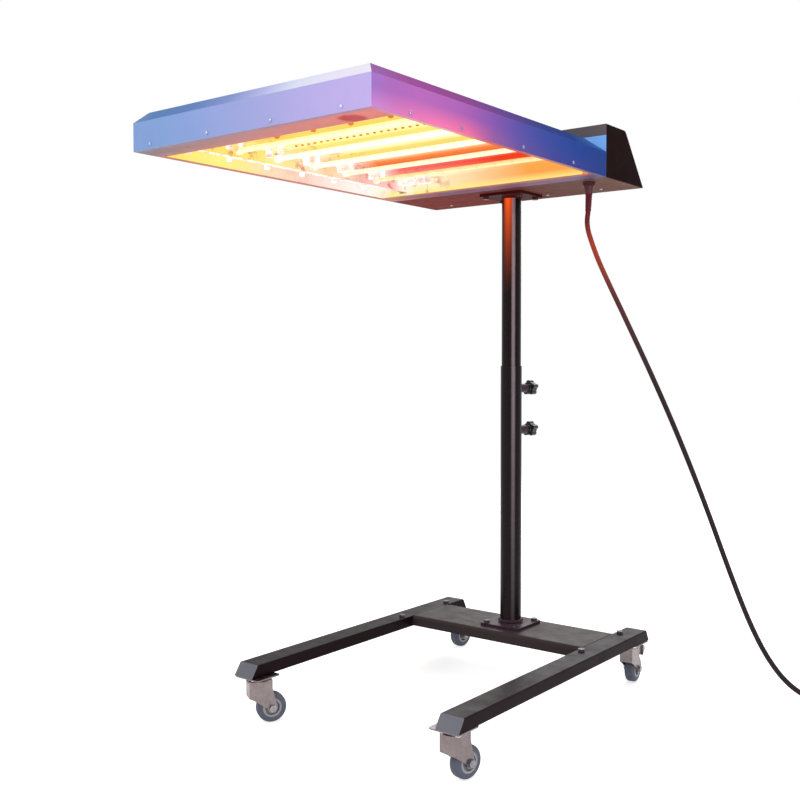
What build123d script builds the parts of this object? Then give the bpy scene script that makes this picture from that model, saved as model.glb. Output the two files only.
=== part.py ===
from build123d import *
import math
import os

# Flash dryer: a heater head on a telescopic mast, over a U-shaped base on casters.
# Millimetres, +Z up. The head reaches out towards -Y, and the control box is behind it.
# Everything is placed from the mast's axis, at x = y = 0 on the floor, and moved at the end
# so that the origin lies on the floor midway between the foremost and rearmost points.

# Casters
caster_height = 97.0
wheel_diameter = 60.0
wheel_width = 22.0
hub_diameter = 38.0
hub_rim = 4.0
hub_web = 8.0
hub_boss_diameter = 18.0
hub_boss_width = 23.0
tyre_shoulder = 6.0
axle_diameter = 8.0
axle_flats = 13.0
axle_head = 5.0
caster_trail = 27.0
caster_plate_width = 66.0
caster_plate_length = 62.0
caster_plate_sheet = 2.5
caster_plate_corner = 5.0
race_diameter = 30.0
race_height = 6.5
kingpin_diameter = 10.0
kingpin_head_diameter = 18.0
kingpin_head = 3.0
crown_sheet = 3.2
crown_diameter = 46.0
cheek_sheet = 2.5
cheek_side_room = 0.4
fork_lead = 20.0
fork_back = 27.0
fork_skirt_drop = 34.0
fork_back_drop = 17.0
axle_boss_radius = 10.0
wheel_bore_room = 0.08
caster_yaws = {"front_left": 60.0, "front_right": 78.0, "rear_left": 84.0, "rear_right": 97.0}

# Brake pedals
pedal_pivot_back = 20.0
pedal_pivot_height = 75.0
pedal_pin_diameter = 5.0
pedal_barrel_diameter = 10.0
pedal_side_room = 0.8
pedal_reach = 70.0
pedal_lobe_width = 30.0
pedal_lobe_corner = 5.0
shoe_gap = 6.0
shoe_angle = 46.0
shoe_half_width = 4.0

# Base frame
leg_width = 50.0
leg_height = 25.0
leg_span = 550.0
leg_front = 592.0
leg_rear = 145.0
leg_front_slope = 17.0
leg_rear_slope = 13.0
leg_edge = 2.5
tube_wall = 2.0
crossbar_front = 77.0
crossbar_rear = 70.0
crossbar_height = 23.0
crossbar_edge = 8.0
tongue_sheet = 4.0
tongue_front = 112.0
tongue_rear = 88.0
tongue_overlap = 30.0
tongue_entry = 26.0
tongue_room = 0.3
leg_bolt_front = 100.0
leg_bolt_rear = 75.0
leg_bolt_inset = 13.0
m8_diameter = 8.0
m8_flats = 13.0
m8_head = 5.3
m8_nut = 6.5
m8_end = 2.0
bolt_hole_room = 0.2
front_caster_place = 560.0
rear_caster_place = 113.0
caster_bolt_outer = 23.0
caster_bolt_inner = 9.0
caster_bolt_along = 19.0
caster_bolt_diameter = 6.0
caster_bolt_flats = 10.0
caster_bolt_head = 4.0
caster_bolt_nut = 5.0

# Mast
flange_side = 102.0
flange_sheet = 6.0
flange_corner = 6.0
flange_bolt_place = 39.0
outer_mast_diameter = 48.0
outer_mast_wall = 1.9
outer_mast_top = 713.5
inner_mast_diameter = 44.0
inner_mast_wall = 2.0
inner_mast_bottom = 545.0
weld_leg = 3.5
bush_room = 0.05
bush_collar = 30.0
bush_spigot = 25.0
bush_bore = 28.0

# Clamps
clamp_heights = {"upper": 662.0, "lower": 566.0}
boss_diameter = 20.0
boss_end = 61.0
clamp_screw_diameter = 10.0
clamp_screw_room = 0.05
clamp_pad_length = 4.7
clamp_pad_room = 0.1
contact_gap = 0.3
knob_start = 64.0
knob_neck_diameter = 22.0
knob_neck = 8.0
knob_thickness = 20.0
knob_core_radius = 14.0
knob_lobe_radius = 5.5
knob_lobe_place = 12.5
knob_lobes = 5
knob_edge = 2.0

# Heater head
head_width = 560.0
head_depth = 738.0
head_back = 82.0
head_underside = 1100.0
head_wall = 51.0
head_chamfer = 20.0
rear_slope_depth = 55.0
riser_height = 34.0
head_sheet = 1.5
head_bend = 2.0
front_lip = 62.0
rear_lip = 50.0
side_lip = 9.5
frame_sheet = 1.5
frame_flange = 16.0
frame_room = 0.1
reflector_sheet = 1.0
reflector_height = 44.0
reflector_ridge = 12.0
reflector_ridge_width = 30.0
reflector_room = 4.5
board_thickness = 16.0
board_margin = 28.0
tube_count = 6
tube_first = 75.0
tube_last = 163.0
tube_height = 20.0
tube_diameter = 10.0
tube_wall_glass = 1.0
tube_left_room = 92.0
tube_right_room = 36.0
element_diameter = 6.0
cap_diameter = 15.0
cap_length = 18.0
cap_socket = 10.0
cap_room = 0.3
rail_sheet = 1.5
rail_rise = 31.0
rail_gap = 8.0
rail_end_margin = 12.0
wire_diameter = 3.0
wire_lane = 5.5
wire_lane_inset = 64.0
wire_bend = 5.0
bus_width = 8.0
bus_sheet = 1.5
wire_hole_room = 3.0

# Screws of the sheet metal
screw_head_diameter = 6.4
screw_head = 1.6
screw_diameter = 3.8
screw_length = 7.0
screw_room = 0.1
screw_height = 8.5
screw_edge_front = 48.0
screw_edge_side = 92.0
screw_edge_last = 60.0
screw_edge_rear = 137.0
front_screw_shares = (0.0, 150 / 452, 301 / 452, 1.0)
side_screw_shares = (0.0, 137 / 509, 327 / 509, 1.0)
floor_screw_room = 12.0
floor_screw_inset = 79.0
floor_screw_back = 46.0

# Control box
cover_sheet = 1.5
cover_height = 108.0
cover_top_back = 4.0
cover_bottom_back = 90.0
cover_round = 12.0
cover_edge = 1.2
cover_rear_lip = 50.0
cover_side_lip = 12.0
floor_sheet = 1.5
floor_room = 0.3
head_plate_width = 110.0
head_plate_front = 52.0
head_plate_rear = 46.0
head_plate_sheet = 6.0
head_plate_corner = 5.0
head_plate_bolt_x = 43.0
head_plate_bolt_front = 40.0
head_plate_bolt_rear = 31.0
control_height = 48.0
dial_x = -90.0
dial_skirt_diameter = 46.0
dial_skirt = 3.0
dial_diameter = 34.0
dial_height = 18.0
dial_pointer = 3.0
dial_shaft_diameter = 6.0
dial_shaft = 14.0
dial_collar_diameter = 12.0
dial_collar = 4.0
dial_room = 0.5
switch_x = 90.0
bezel_length = 32.0
bezel_width = 24.0
bezel_proud = 2.0
bezel_wall = 2.5
bezel_depth = 14.0
rocker_radius = 9.4
rocker_width = 12.0
rocker_room = 0.4
rocker_pivot_depth = 1.0
rocker_rise = 4.4
rocker_valley = 2.2
rocker_foot = 5.0
rocker_pin_diameter = 3.0
rocker_pin = 1.6
rocker_tilt = 9.0
block_width = 46.0
block_depth = 22.0
block_height = 30.0
block_edge = 2.0

# Mains cord
cord_diameter = 11.0
gland_inset = 58.0
gland_front = 48.0
gland_hex_flats = 24.0
gland_hex = 9.0
gland_nut_diameter = 21.0
gland_tip_diameter = 15.0
gland_drop = 25.0
gland_thread_diameter = 16.0
gland_locknut = 5.0
cord_heading = 30.0
floor_gap = 0.3
coil_half_turns = 9
samples_per_half_turn = 30
coil_middle_radius = 60.5
coil_turn_gap = 0.6
coil_tail = 45.0
plug_length = 46.0
plug_relief = 22.0
plug_flange = 5.0
plug_flange_extra = 0.4
plug_pin_diameter = 4.8
plug_pin_spacing = 19.0
plug_pin = 19.0

# The cord's hanging route: distance from the gland along its heading, and height.
cord_route = [
    (0.0, 1075.0), (0.0, 1047.0), (-5.0, 1010.0), (4.0, 968.0), (24.0, 922.0), (80.0, 808.0),
    (143.0, 672.0), (196.0, 548.0), (246.0, 420.0), (292.0, 292.0), (336.0, 178.0), (376.0, 100.0),
    (421.0, 45.0), (480.0, 14.0), (548.0, 5.8), (610.0, 5.8),
]
cord_arc_share = 0.45

# One overrun serves every cut
overrun = 1.0

# Places worked out from the sizes
leg_bottom = caster_height
leg_top = leg_bottom + leg_height
leg_outer = leg_span / 2
leg_inner = leg_outer - leg_width
sheet_under = leg_top - tube_wall
caster_x = leg_outer - caster_plate_width / 2
caster_places = {
    "front_left": (-caster_x, -front_caster_place),
    "front_right": (caster_x, -front_caster_place),
    "rear_left": (-caster_x, rear_caster_place),
    "rear_right": (caster_x, rear_caster_place),
}
braked = ("rear_left", "rear_right")
flange_top = leg_top + flange_sheet
head_rear = -head_back
head_front = head_rear - head_depth
head_side = head_width / 2
wall_top = head_underside + head_wall
roof = wall_top + head_chamfer
riser_top = wall_top + riser_height
cover_top = head_underside + cover_height
frame_top = head_underside + frame_sheet
tube_z = head_underside + tube_height
tube_pitch = (head_depth - tube_first - tube_last) / (tube_count - 1)
tube_places = [head_front + tube_first + i * tube_pitch for i in range(tube_count)]
wall_inside = head_side - head_sheet
tube_left = head_side - tube_left_room
tube_right = head_side - tube_right_room
wire_first_lane = head_side - wire_lane_inset
gland_x = head_side - gland_inset
front_screw_run = head_width - screw_edge_front - screw_edge_last
side_screw_run = head_depth - screw_edge_side - screw_edge_rear
front_screws = [screw_edge_front + share * front_screw_run for share in front_screw_shares]
side_screws = [screw_edge_side + share * side_screw_run for share in side_screw_shares]
floor_screw_places = [head_plate_width / 2 + floor_screw_room, head_side - floor_screw_inset]


def pedal_extent(yaw):
    """How far back of its swivel axis a pedal's rounded foot pad reaches."""
    turn = math.radians(yaw)
    along, across = pedal_reach - pedal_lobe_corner, pedal_lobe_width / 2 - pedal_lobe_corner
    return along * math.sin(turn) + across * abs(math.cos(turn)) + pedal_lobe_corner


foremost = head_front - screw_head
rearmost = rear_caster_place + max(pedal_extent(caster_yaws[name]) for name in braked)
centre_shift = -(foremost + rearmost) / 2


def block(x0, x1, y0, y1, z0, z1):
    """A box between two opposite corners."""
    return Pos((x0 + x1) / 2, (y0 + y1) / 2, (z0 + z1) / 2) * Box(x1 - x0, y1 - y0, z1 - z0)


def post(diameter, z0, z1, x=0, y=0):
    """An upright round bar."""
    return Pos(x, y, (z0 + z1) / 2) * Cylinder(diameter / 2, z1 - z0)


def bar_x(diameter, x0, x1, y, z):
    """A round bar along X."""
    return Pos((x0 + x1) / 2, y, z) * Rot(0, 90, 0) * Cylinder(diameter / 2, x1 - x0)


def bar_y(diameter, y0, y1, x, z):
    """A round bar along Y."""
    return Pos(x, (y0 + y1) / 2, z) * Rot(90, 0, 0) * Cylinder(diameter / 2, y1 - y0)


def hexagon(flats, z0, z1, x=0, y=0):
    """An upright hexagonal bar, by its width across flats."""
    face = RegularPolygon(flats / 2, 6, major_radius=False)
    return Pos(x, y, z0) * extrude(face, z1 - z0)


def prism_x(points, x0, x1):
    """A (y, z) outline carried along X."""
    face = Pos(x0, 0, 0) * (Plane.YZ * Polygon(*points, align=None))
    return extrude(face, x1 - x0, dir=(1, 0, 0))


def prism_y(points, y0, y1):
    """An (x, z) outline carried along Y."""
    face = Pos(0, y0, 0) * (Plane.XZ * Polygon(*points, align=None))
    return extrude(face, y1 - y0, dir=(0, 1, 0))


def rounded(shape, axis, radius):
    """The shape with its edges along one axis rounded."""
    return fillet(shape.edges().filter_by(axis), radius)


def save(name, shape):
    """Writes one node in the part's own frame."""
    export_step(Pos(0, centre_shift, 0) * shape, f"parts/{name}.step")


def save_group(name, shapes):
    """Writes one node of several separate solids."""
    save(name, Compound(children=[solid for shape in shapes for solid in shape.solids()]))


# Casters, each in its own frame: swivel axis upright through the origin, wheel trailing to +X
plate_bottom = caster_height - caster_plate_sheet
race_bottom = plate_bottom - race_height
crown_top = race_bottom - contact_gap
crown_bottom = crown_top - crown_sheet
wheel_radius = wheel_diameter / 2
cheek_inner = hub_boss_width / 2 + cheek_side_room
cheek_outer = cheek_inner + cheek_sheet


def caster_bolt_places(side):
    """Where a caster's four bolts go, from its swivel axis, on the left (-1) or right (1) leg."""
    rows = (side * caster_bolt_outer, -side * caster_bolt_inner)
    return [(x, y) for x in rows for y in (-caster_bolt_along, caster_bolt_along)]


def make_caster_plate(side):
    """Top plate with its upper race and the riveted kingpin."""
    half_x, half_y = caster_plate_width / 2, caster_plate_length / 2
    plate = rounded(block(-half_x, half_x, -half_y, half_y, plate_bottom, caster_height),
                    Axis.Z, caster_plate_corner)
    for x, y in caster_bolt_places(side):
        plate -= post(caster_bolt_diameter + 2 * bolt_hole_room, plate_bottom - overrun,
                      caster_height + overrun, x, y)
    plate += post(race_diameter, race_bottom, plate_bottom)
    plate += post(kingpin_diameter, crown_bottom - contact_gap, race_bottom)
    head_top = crown_bottom - contact_gap
    return plate + post(kingpin_head_diameter, head_top - kingpin_head, head_top)


def make_caster_fork(with_brake):
    """Pressed fork: crown, two cheeks down to the axle and a skirt across the leading side."""
    skirt_bottom = crown_top - fork_skirt_drop
    outline = Polygon((-fork_lead, crown_top), (-fork_lead, skirt_bottom),
                      (-axle_boss_radius, skirt_bottom - axle_boss_radius / 2),
                      (caster_trail - axle_boss_radius, wheel_radius),
                      (caster_trail + axle_boss_radius, wheel_radius),
                      (fork_back, crown_top - fork_back_drop), (fork_back, crown_top), align=None)
    outline += Pos(caster_trail, wheel_radius) * Circle(axle_boss_radius)
    outline -= Pos(caster_trail, wheel_radius) * Circle(axle_diameter / 2 + screw_room)
    if with_brake:
        outline -= Pos(pedal_pivot_back, pedal_pivot_height) * Circle(pedal_pin_diameter / 2 + screw_room)
    fork = None
    for y0 in (-cheek_outer, cheek_inner):
        cheek = extrude(Pos(0, y0, 0) * (Plane.XZ * outline), cheek_sheet, dir=(0, 1, 0))
        fork = cheek if fork is None else fork + cheek
    fork += block(-fork_lead, fork_back, -cheek_outer, cheek_outer, crown_bottom, crown_top)
    fork += post(crown_diameter, crown_bottom, crown_top)
    fork += block(-fork_lead, -fork_lead + cheek_sheet, -cheek_outer, cheek_outer, skirt_bottom, crown_top)
    return fork - post(kingpin_diameter + 2 * screw_room, crown_bottom - overrun, crown_top + overrun)


def make_axle():
    """Axle bolt with its head and nut outside the cheeks."""
    bolt = bar_y(axle_diameter, -cheek_outer - axle_head, cheek_outer + axle_head, 0, 0)
    for y0 in (-cheek_outer - axle_head, cheek_outer):
        face = RegularPolygon(axle_flats / 2, 6, major_radius=False)
        bolt += extrude(Pos(0, y0, 0) * (Plane.XZ * face), axle_head, dir=(0, 1, 0))
    return Pos(caster_trail, 0, wheel_radius) * bolt


def make_hub():
    """Plastic wheel centre: rim, web and bored boss."""
    half = wheel_width / 2
    hub = bar_y(hub_diameter, -half, half, 0, 0) - bar_y(hub_diameter - 2 * hub_rim, -half, half, 0, 0)
    hub += bar_y(hub_diameter - hub_rim, -hub_web / 2, hub_web / 2, 0, 0)
    hub += bar_y(hub_boss_diameter, -hub_boss_width / 2, hub_boss_width / 2, 0, 0)
    bore = axle_diameter + 2 * wheel_bore_room
    return Pos(caster_trail, 0, wheel_radius) * (hub - bar_y(bore, -hub_boss_width, hub_boss_width, 0, 0))


def make_tyre():
    """Tyre with round shoulders, seated on the hub's rim."""
    half = wheel_width / 2
    tyre = bar_y(wheel_diameter, -half, half, 0, 0)
    tyre = fillet(tyre.edges(), tyre_shoulder)
    return Pos(caster_trail, 0, wheel_radius) * (tyre - bar_y(hub_diameter, -wheel_width, wheel_width, 0, 0))


def make_brake_pedal():
    """Pedal on a cross pin, with a shoe that comes down on the tyre."""
    thick = pedal_barrel_diameter / 2
    px, pz = pedal_pivot_back, pedal_pivot_height
    shoe_radius = wheel_radius + shoe_gap
    turn = math.radians(shoe_angle)
    sx = caster_trail + shoe_radius * math.cos(turn)
    sz = wheel_radius + shoe_radius * math.sin(turn)
    outline = [(px, pz + thick), (px + shoe_radius, pz + thick / 2), (pedal_reach, pz - thick),
               (pedal_reach, pz - 2 * thick), (sx + 2 * shoe_half_width, sz + shoe_half_width),
               (sx + shoe_half_width / 2, sz - shoe_half_width / 2),
               (sx - shoe_half_width, sz + shoe_half_width), (px, pz - thick)]
    half = cheek_inner - pedal_side_room
    lobe_half = pedal_lobe_width / 2
    pedal = prism_y(outline, -half, half) + bar_y(pedal_barrel_diameter, -half, half, px, pz)
    wide = prism_y(outline, -lobe_half, lobe_half)
    wide &= block(caster_trail + wheel_radius - shoe_half_width, pedal_reach, -lobe_half, lobe_half,
                  0, caster_height)
    pedal += rounded_lobe(wide)
    return pedal + bar_y(pedal_pin_diameter, -cheek_outer, cheek_outer, px, pz)


def rounded_lobe(lobe):
    """The pedal's foot pad with its two free corners rounded."""
    free = lobe.edges().filter_by(Axis.Z).group_by(Axis.X)[-1]
    return fillet(free, pedal_lobe_corner)


def make_casters():
    """Four swivel casters, the rear two with brake pedals."""
    for name, (x, y) in caster_places.items():
        side = 1 if x > 0 else -1
        at = Pos(x, y, 0)
        turned = at * Rot(0, 0, caster_yaws[name])
        save(f"{name}_caster_plate", at * make_caster_plate(side))
        save(f"{name}_caster_fork", turned * make_caster_fork(name in braked))
        save(f"{name}_wheel_axle", turned * make_axle())
        save(f"{name}_wheel_hub", turned * make_hub())
        save(f"{name}_wheel_tyre", turned * make_tyre())
        if name in braked:
            save(f"{name}_brake_pedal", turned * make_brake_pedal())


# Base frame


def make_leg(side):
    """Rectangular tube with closed, sloping ends and a slot for the crossbar's tongue."""
    outline = Polygon((-leg_front, leg_bottom), (leg_rear, leg_bottom),
                      (leg_rear - leg_rear_slope, leg_top),
                      (-leg_front + leg_front_slope, leg_top), align=None)
    hollow = offset(outline, amount=-tube_wall, kind=Kind.INTERSECTION)
    x0 = leg_inner if side > 0 else -leg_outer
    outside = extrude(Pos(x0, 0, 0) * (Plane.YZ * outline), leg_width, dir=(1, 0, 0))
    outside = fillet(outside.edges().filter_by(Axis.Y), leg_edge)
    inside = extrude(Pos(x0 + tube_wall, 0, 0) * (Plane.YZ * hollow), leg_width - 2 * tube_wall, dir=(1, 0, 0))
    leg = outside - inside
    wall_x = side * leg_inner
    leg -= block(wall_x - tube_wall - overrun, wall_x + tube_wall + overrun,
                 -crossbar_front + crossbar_edge - tongue_room, crossbar_rear - crossbar_edge + tongue_room,
                 sheet_under - tongue_sheet - tongue_room, sheet_under)
    for y in (-leg_bolt_front, leg_bolt_rear):
        leg -= post(m8_diameter + 2 * bolt_hole_room, sheet_under - overrun, leg_top + overrun,
                    side * (leg_inner + leg_bolt_inset), y)
    for name, (cx, cy) in caster_places.items():
        if cx * side > 0:
            for x, y in caster_bolt_places(side):
                leg -= post(caster_bolt_diameter + 2 * bolt_hole_room, leg_bottom - overrun,
                            leg_bottom + tube_wall + overrun, cx + x, cy + y)
    return leg


def make_crossbar():
    """Folded channel between the legs, with a tongue at each end that is bolted inside the leg."""
    bottom = leg_top - crossbar_height
    outer = block(-leg_inner, leg_inner, -crossbar_front, crossbar_rear, bottom, leg_top)
    top_edges = outer.edges().filter_by(Axis.X).group_by(Axis.Z)[-1]
    bar = fillet(top_edges, crossbar_edge)
    inner = block(-leg_inner, leg_inner, -crossbar_front + tube_wall, crossbar_rear - tube_wall,
                  bottom - overrun, sheet_under)
    inner_top = inner.edges().filter_by(Axis.X).group_by(Axis.Z)[-1]
    bar -= fillet(inner_top, crossbar_edge - tube_wall)
    neck_front = -crossbar_front + crossbar_edge
    neck_rear = crossbar_rear - crossbar_edge
    tongue_low = sheet_under - tongue_sheet
    for side in (-1, 1):
        inner_end = side * (leg_inner - tongue_overlap)
        leg_side = side * (leg_inner + tube_wall + tongue_room)
        outer_end = side * (leg_inner + tongue_entry)
        bar += block(min(inner_end, outer_end), max(inner_end, outer_end), neck_front, neck_rear,
                     tongue_low, sheet_under)
        bar += block(min(leg_side, outer_end), max(leg_side, outer_end), -tongue_front, tongue_rear,
                     tongue_low, sheet_under)
        for y in (-leg_bolt_front, leg_bolt_rear):
            bar -= post(m8_diameter + 2 * bolt_hole_room, tongue_low - overrun, leg_top + overrun,
                        side * (leg_inner + leg_bolt_inset), y)
    for x in (-flange_bolt_place, flange_bolt_place):
        for y in (-flange_bolt_place, flange_bolt_place):
            bar -= post(m8_diameter + 2 * bolt_hole_room, tongue_low, leg_top + overrun, x, y)
    return bar


def m8_bolt(x, y, seat, grip_bottom):
    """Hex bolt from above with its nut under the grip."""
    nut_bottom = grip_bottom - m8_nut
    bolt = post(m8_diameter, nut_bottom - m8_end, seat, x, y)
    bolt += hexagon(m8_flats, seat, seat + m8_head, x, y)
    return bolt + hexagon(m8_flats, nut_bottom, grip_bottom, x, y)


def make_base_bolts():
    """Four bolts through the leg tops into the tongues, and four through the mast's flange."""
    bolts = []
    for side in (-1, 1):
        for y in (-leg_bolt_front, leg_bolt_rear):
            bolts.append(m8_bolt(side * (leg_inner + leg_bolt_inset), y, leg_top, sheet_under - tongue_sheet))
    for x in (-flange_bolt_place, flange_bolt_place):
        for y in (-flange_bolt_place, flange_bolt_place):
            bolts.append(m8_bolt(x, y, flange_top, sheet_under))
    return bolts


def make_caster_bolts():
    """Four bolts in each caster plate, with their nuts inside the leg."""
    bolts = []
    grip_top = leg_bottom + tube_wall
    for cx, cy in caster_places.values():
        side = 1 if cx > 0 else -1
        for x, y in caster_bolt_places(side):
            bolt = post(caster_bolt_diameter, plate_bottom, grip_top + caster_bolt_nut, cx + x, cy + y)
            bolt += post(caster_bolt_flats, plate_bottom - caster_bolt_head, plate_bottom, cx + x, cy + y)
            bolts.append(bolt + hexagon(caster_bolt_flats, grip_top, grip_top + caster_bolt_nut, cx + x, cy + y))
    return bolts


# Mast and clamps


def make_mast_flange():
    """Square foot plate with the weld round the mast."""
    half = flange_side / 2
    flange = rounded(block(-half, half, -half, half, leg_top, flange_top), Axis.Z, flange_corner)
    for x in (-flange_bolt_place, flange_bolt_place):
        for y in (-flange_bolt_place, flange_bolt_place):
            flange -= post(m8_diameter + 2 * bolt_hole_room, leg_top - overrun, flange_top + overrun, x, y)
    weld = Cone(outer_mast_diameter / 2 + weld_leg, outer_mast_diameter / 2, weld_leg)
    weld = Pos(0, 0, flange_top + weld_leg / 2) * weld
    return flange + (weld - post(outer_mast_diameter, flange_top, flange_top + weld_leg))


def make_outer_mast():
    """Lower tube, with a hole behind for each clamp screw."""
    bore = outer_mast_diameter - 2 * outer_mast_wall
    tube = post(outer_mast_diameter, flange_top, outer_mast_top)
    tube -= post(bore, flange_top - overrun, outer_mast_top + overrun)
    hole = clamp_screw_diameter + 2 * clamp_screw_room
    for z in clamp_heights.values():
        tube -= bar_y(hole, 0, outer_mast_diameter, 0, z)
    return tube


def make_clamp_boss(z):
    """Threaded sleeve that is welded to the back of the outer mast."""
    boss = bar_y(boss_diameter, 0, boss_end, 0, z)
    boss -= post(outer_mast_diameter, z - boss_diameter, z + boss_diameter)
    return boss - bar_y(clamp_screw_diameter + 2 * clamp_screw_room, 0, boss_end + overrun, 0, z)


pad_face = inner_mast_diameter / 2 + contact_gap
screw_tip = pad_face + clamp_pad_length + contact_gap


def make_clamp_pad(z):
    """Soft tip that the screw pushes against the inner mast."""
    return bar_y(clamp_screw_diameter - 2 * clamp_pad_room, pad_face, pad_face + clamp_pad_length, 0, z)


def make_clamp_screw(z):
    """Screw, from its tip behind the pad into the knob."""
    end = knob_start + knob_neck + knob_thickness / 2
    return bar_y(clamp_screw_diameter, screw_tip, end, 0, z)


def make_clamp_knob(z):
    """Star knob with a round neck."""
    face = Circle(knob_core_radius)
    for i in range(knob_lobes):
        angle = 2 * math.pi * i / knob_lobes + math.pi / 2
        face += Pos(knob_lobe_place * math.cos(angle), knob_lobe_place * math.sin(angle)) * Circle(knob_lobe_radius)
    star_start = knob_start + knob_neck
    star = extrude(Pos(0, star_start, z) * (Plane.XZ * face), knob_thickness, dir=(0, 1, 0))
    star = fillet(star.faces().filter_by(Axis.Y).edges(), knob_edge)
    knob = star + bar_y(knob_neck_diameter, knob_start, star_start, 0, z)
    return knob - bar_y(clamp_screw_diameter, knob_start, star_start + knob_thickness / 2, 0, z)


def make_guide_bush():
    """Plastic bush that slides in the outer mast and carries the inner mast."""
    outer_bore = outer_mast_diameter - 2 * outer_mast_wall
    inner_bore = inner_mast_diameter - 2 * inner_mast_wall
    bush = post(outer_bore - 2 * bush_room, inner_mast_bottom - bush_collar, inner_mast_bottom)
    bush += post(inner_bore - 2 * bush_room, inner_mast_bottom, inner_mast_bottom + bush_spigot)
    return bush - post(bush_bore, inner_mast_bottom - bush_collar - overrun, inner_mast_bottom + bush_spigot + overrun)


def make_inner_mast():
    """Upper tube, from its bush to the plate under the head."""
    top = head_underside - head_plate_sheet
    tube = post(inner_mast_diameter, inner_mast_bottom, top)
    return tube - post(inner_mast_diameter - 2 * inner_mast_wall, inner_mast_bottom - overrun, top + overrun)


def head_plate_bolt_places():
    """Where the head plate is bolted to the control box."""
    return [(x, y) for x in (-head_plate_bolt_x, head_plate_bolt_x)
            for y in (-head_plate_bolt_front, head_plate_bolt_rear)]


def make_head_plate():
    """Plate on top of the mast, with its weld."""
    half = head_plate_width / 2
    low = head_underside - head_plate_sheet
    plate = rounded(block(-half, half, -head_plate_front, head_plate_rear, low, head_underside),
                    Axis.Z, head_plate_corner)
    for x, y in head_plate_bolt_places():
        plate -= post(m8_diameter + 2 * bolt_hole_room, low - overrun, head_underside + overrun, x, y)
    weld = Pos(0, 0, low - weld_leg / 2) * Cone(inner_mast_diameter / 2, inner_mast_diameter / 2 + weld_leg, weld_leg)
    return plate + (weld - post(inner_mast_diameter, low - weld_leg, low))


def make_head_plate_bolts():
    """Four bolts up through the plate and the box's floor."""
    low = head_underside - head_plate_sheet
    top = head_underside + floor_sheet
    bolts = []
    for x, y in head_plate_bolt_places():
        bolt = post(m8_diameter, low, top + m8_nut + m8_end, x, y)
        bolt += hexagon(m8_flats, low - m8_head, low, x, y)
        bolts.append(bolt + hexagon(m8_flats, top, top + m8_nut, x, y))
    return bolts


# Heater head


def hood(half_x, front, rear, low, eave, chamfer, slope, top):
    """A box with a chamfered roof, whose rear slope is longer than the other three."""
    walls = block(-half_x, half_x, front, rear, low, eave)
    foot = Pos(0, (front + rear) / 2, eave) * Rectangle(2 * half_x, rear - front)
    roof_front, roof_rear = front + chamfer, rear - slope
    ridge = Pos(0, (roof_front + roof_rear) / 2, top) * Rectangle(2 * (half_x - chamfer), roof_rear - roof_front)
    return walls + loft([foot, ridge])


def screw_places():
    """Each wall screw of the head: the point on the wall's outer face and its outward direction."""
    z = head_underside + screw_height
    places = [((-head_side + x, head_front, z), (0, -1, 0)) for x in front_screws]
    for side in (-1, 1):
        places += [((side * head_side, head_front + y, z), (side, 0, 0)) for y in side_screws]
    return places


def floor_screw_points():
    """Each screw under the control box."""
    return [((side * x, floor_screw_back, head_underside), (0, 0, -1))
            for side in (-1, 1) for x in floor_screw_places]


def along(point, direction):
    """A frame at a point with its Z along a direction."""
    return Plane(origin=point, z_dir=direction).location


def screw_hole(point, direction):
    """Clearance for one sheet-metal screw."""
    hole = Cylinder(screw_diameter / 2 + screw_room, 2 * screw_length + 2 * overrun)
    return along(point, direction) * hole


def make_screw(point, direction):
    """Pan-head screw seated on the wall."""
    head = Pos(0, 0, screw_head / 2) * Cylinder(screw_head_diameter / 2, screw_head)
    head = fillet(head.edges().group_by(Axis.Z)[-1], screw_head / 2)
    shank = Pos(0, 0, -screw_length / 2) * Cylinder(screw_diameter / 2, screw_length)
    return along(point, direction) * (head + shank)


def wire_lanes():
    """The x of each heater wire's run to the rear: the front tube's lane is the outermost."""
    return [-wire_first_lane - wire_lane * (tube_count - i) for i in range(tube_count)]


def wire_window(y0, y1):
    """The opening for the bundle of wires in a wall across Y."""
    lanes = wire_lanes()
    room = wire_diameter / 2 + wire_hole_room
    return block(min(lanes) - room, max(lanes) + room, y0 - overrun, y1 + overrun, tube_z - room, tube_z + room)


def make_head_shell():
    """Blue hood, open underneath, with an upstand along its rear wall."""
    outer = hood(head_side, head_front, head_rear, head_underside, wall_top, head_chamfer, rear_slope_depth, roof)
    bends = outer.edges().filter_by(lambda edge: edge.center().Z > head_underside + overrun)
    outer = fillet(bends, head_bend)
    fold = head_sheet * math.tan(math.pi / 8)
    inner = hood(wall_inside, head_front + head_sheet, head_rear - head_sheet, head_underside - overrun,
                 wall_top - fold, head_chamfer - head_sheet + fold, rear_slope_depth - head_sheet + fold,
                 roof - head_sheet)
    shell = outer - inner
    shell += block(-head_side, head_side, head_rear - head_sheet, head_rear, wall_top - head_chamfer, riser_top)
    for point, direction in screw_places():
        shell -= screw_hole(point, direction)
    return shell - wire_window(head_rear - head_sheet, head_rear)


def make_bottom_frame():
    """Turned-in frame round the mouth, with an upright flange inside the walls."""
    half = wall_inside - frame_room
    front = head_front + head_sheet + frame_room
    rear = head_rear - head_sheet - frame_room
    frame = block(-half, half, front, rear, head_underside, head_underside + frame_flange)
    frame -= block(-half + frame_sheet, half - frame_sheet, front + frame_sheet, rear - frame_sheet,
                   frame_top, head_underside + frame_flange + overrun)
    frame -= block(-head_side + side_lip, head_side - side_lip, head_front + front_lip, head_rear - rear_lip,
                   head_underside - overrun, frame_top + overrun)
    for point, direction in screw_places():
        frame -= screw_hole(point, direction)
    return frame


reflector_top = head_underside + reflector_height
reflector_x = wall_inside - frame_room - frame_sheet - reflector_room
reflector_front = head_front + head_sheet + frame_room + frame_sheet + reflector_room
reflector_rear = head_rear - head_sheet - frame_room - frame_sheet - reflector_room


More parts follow.
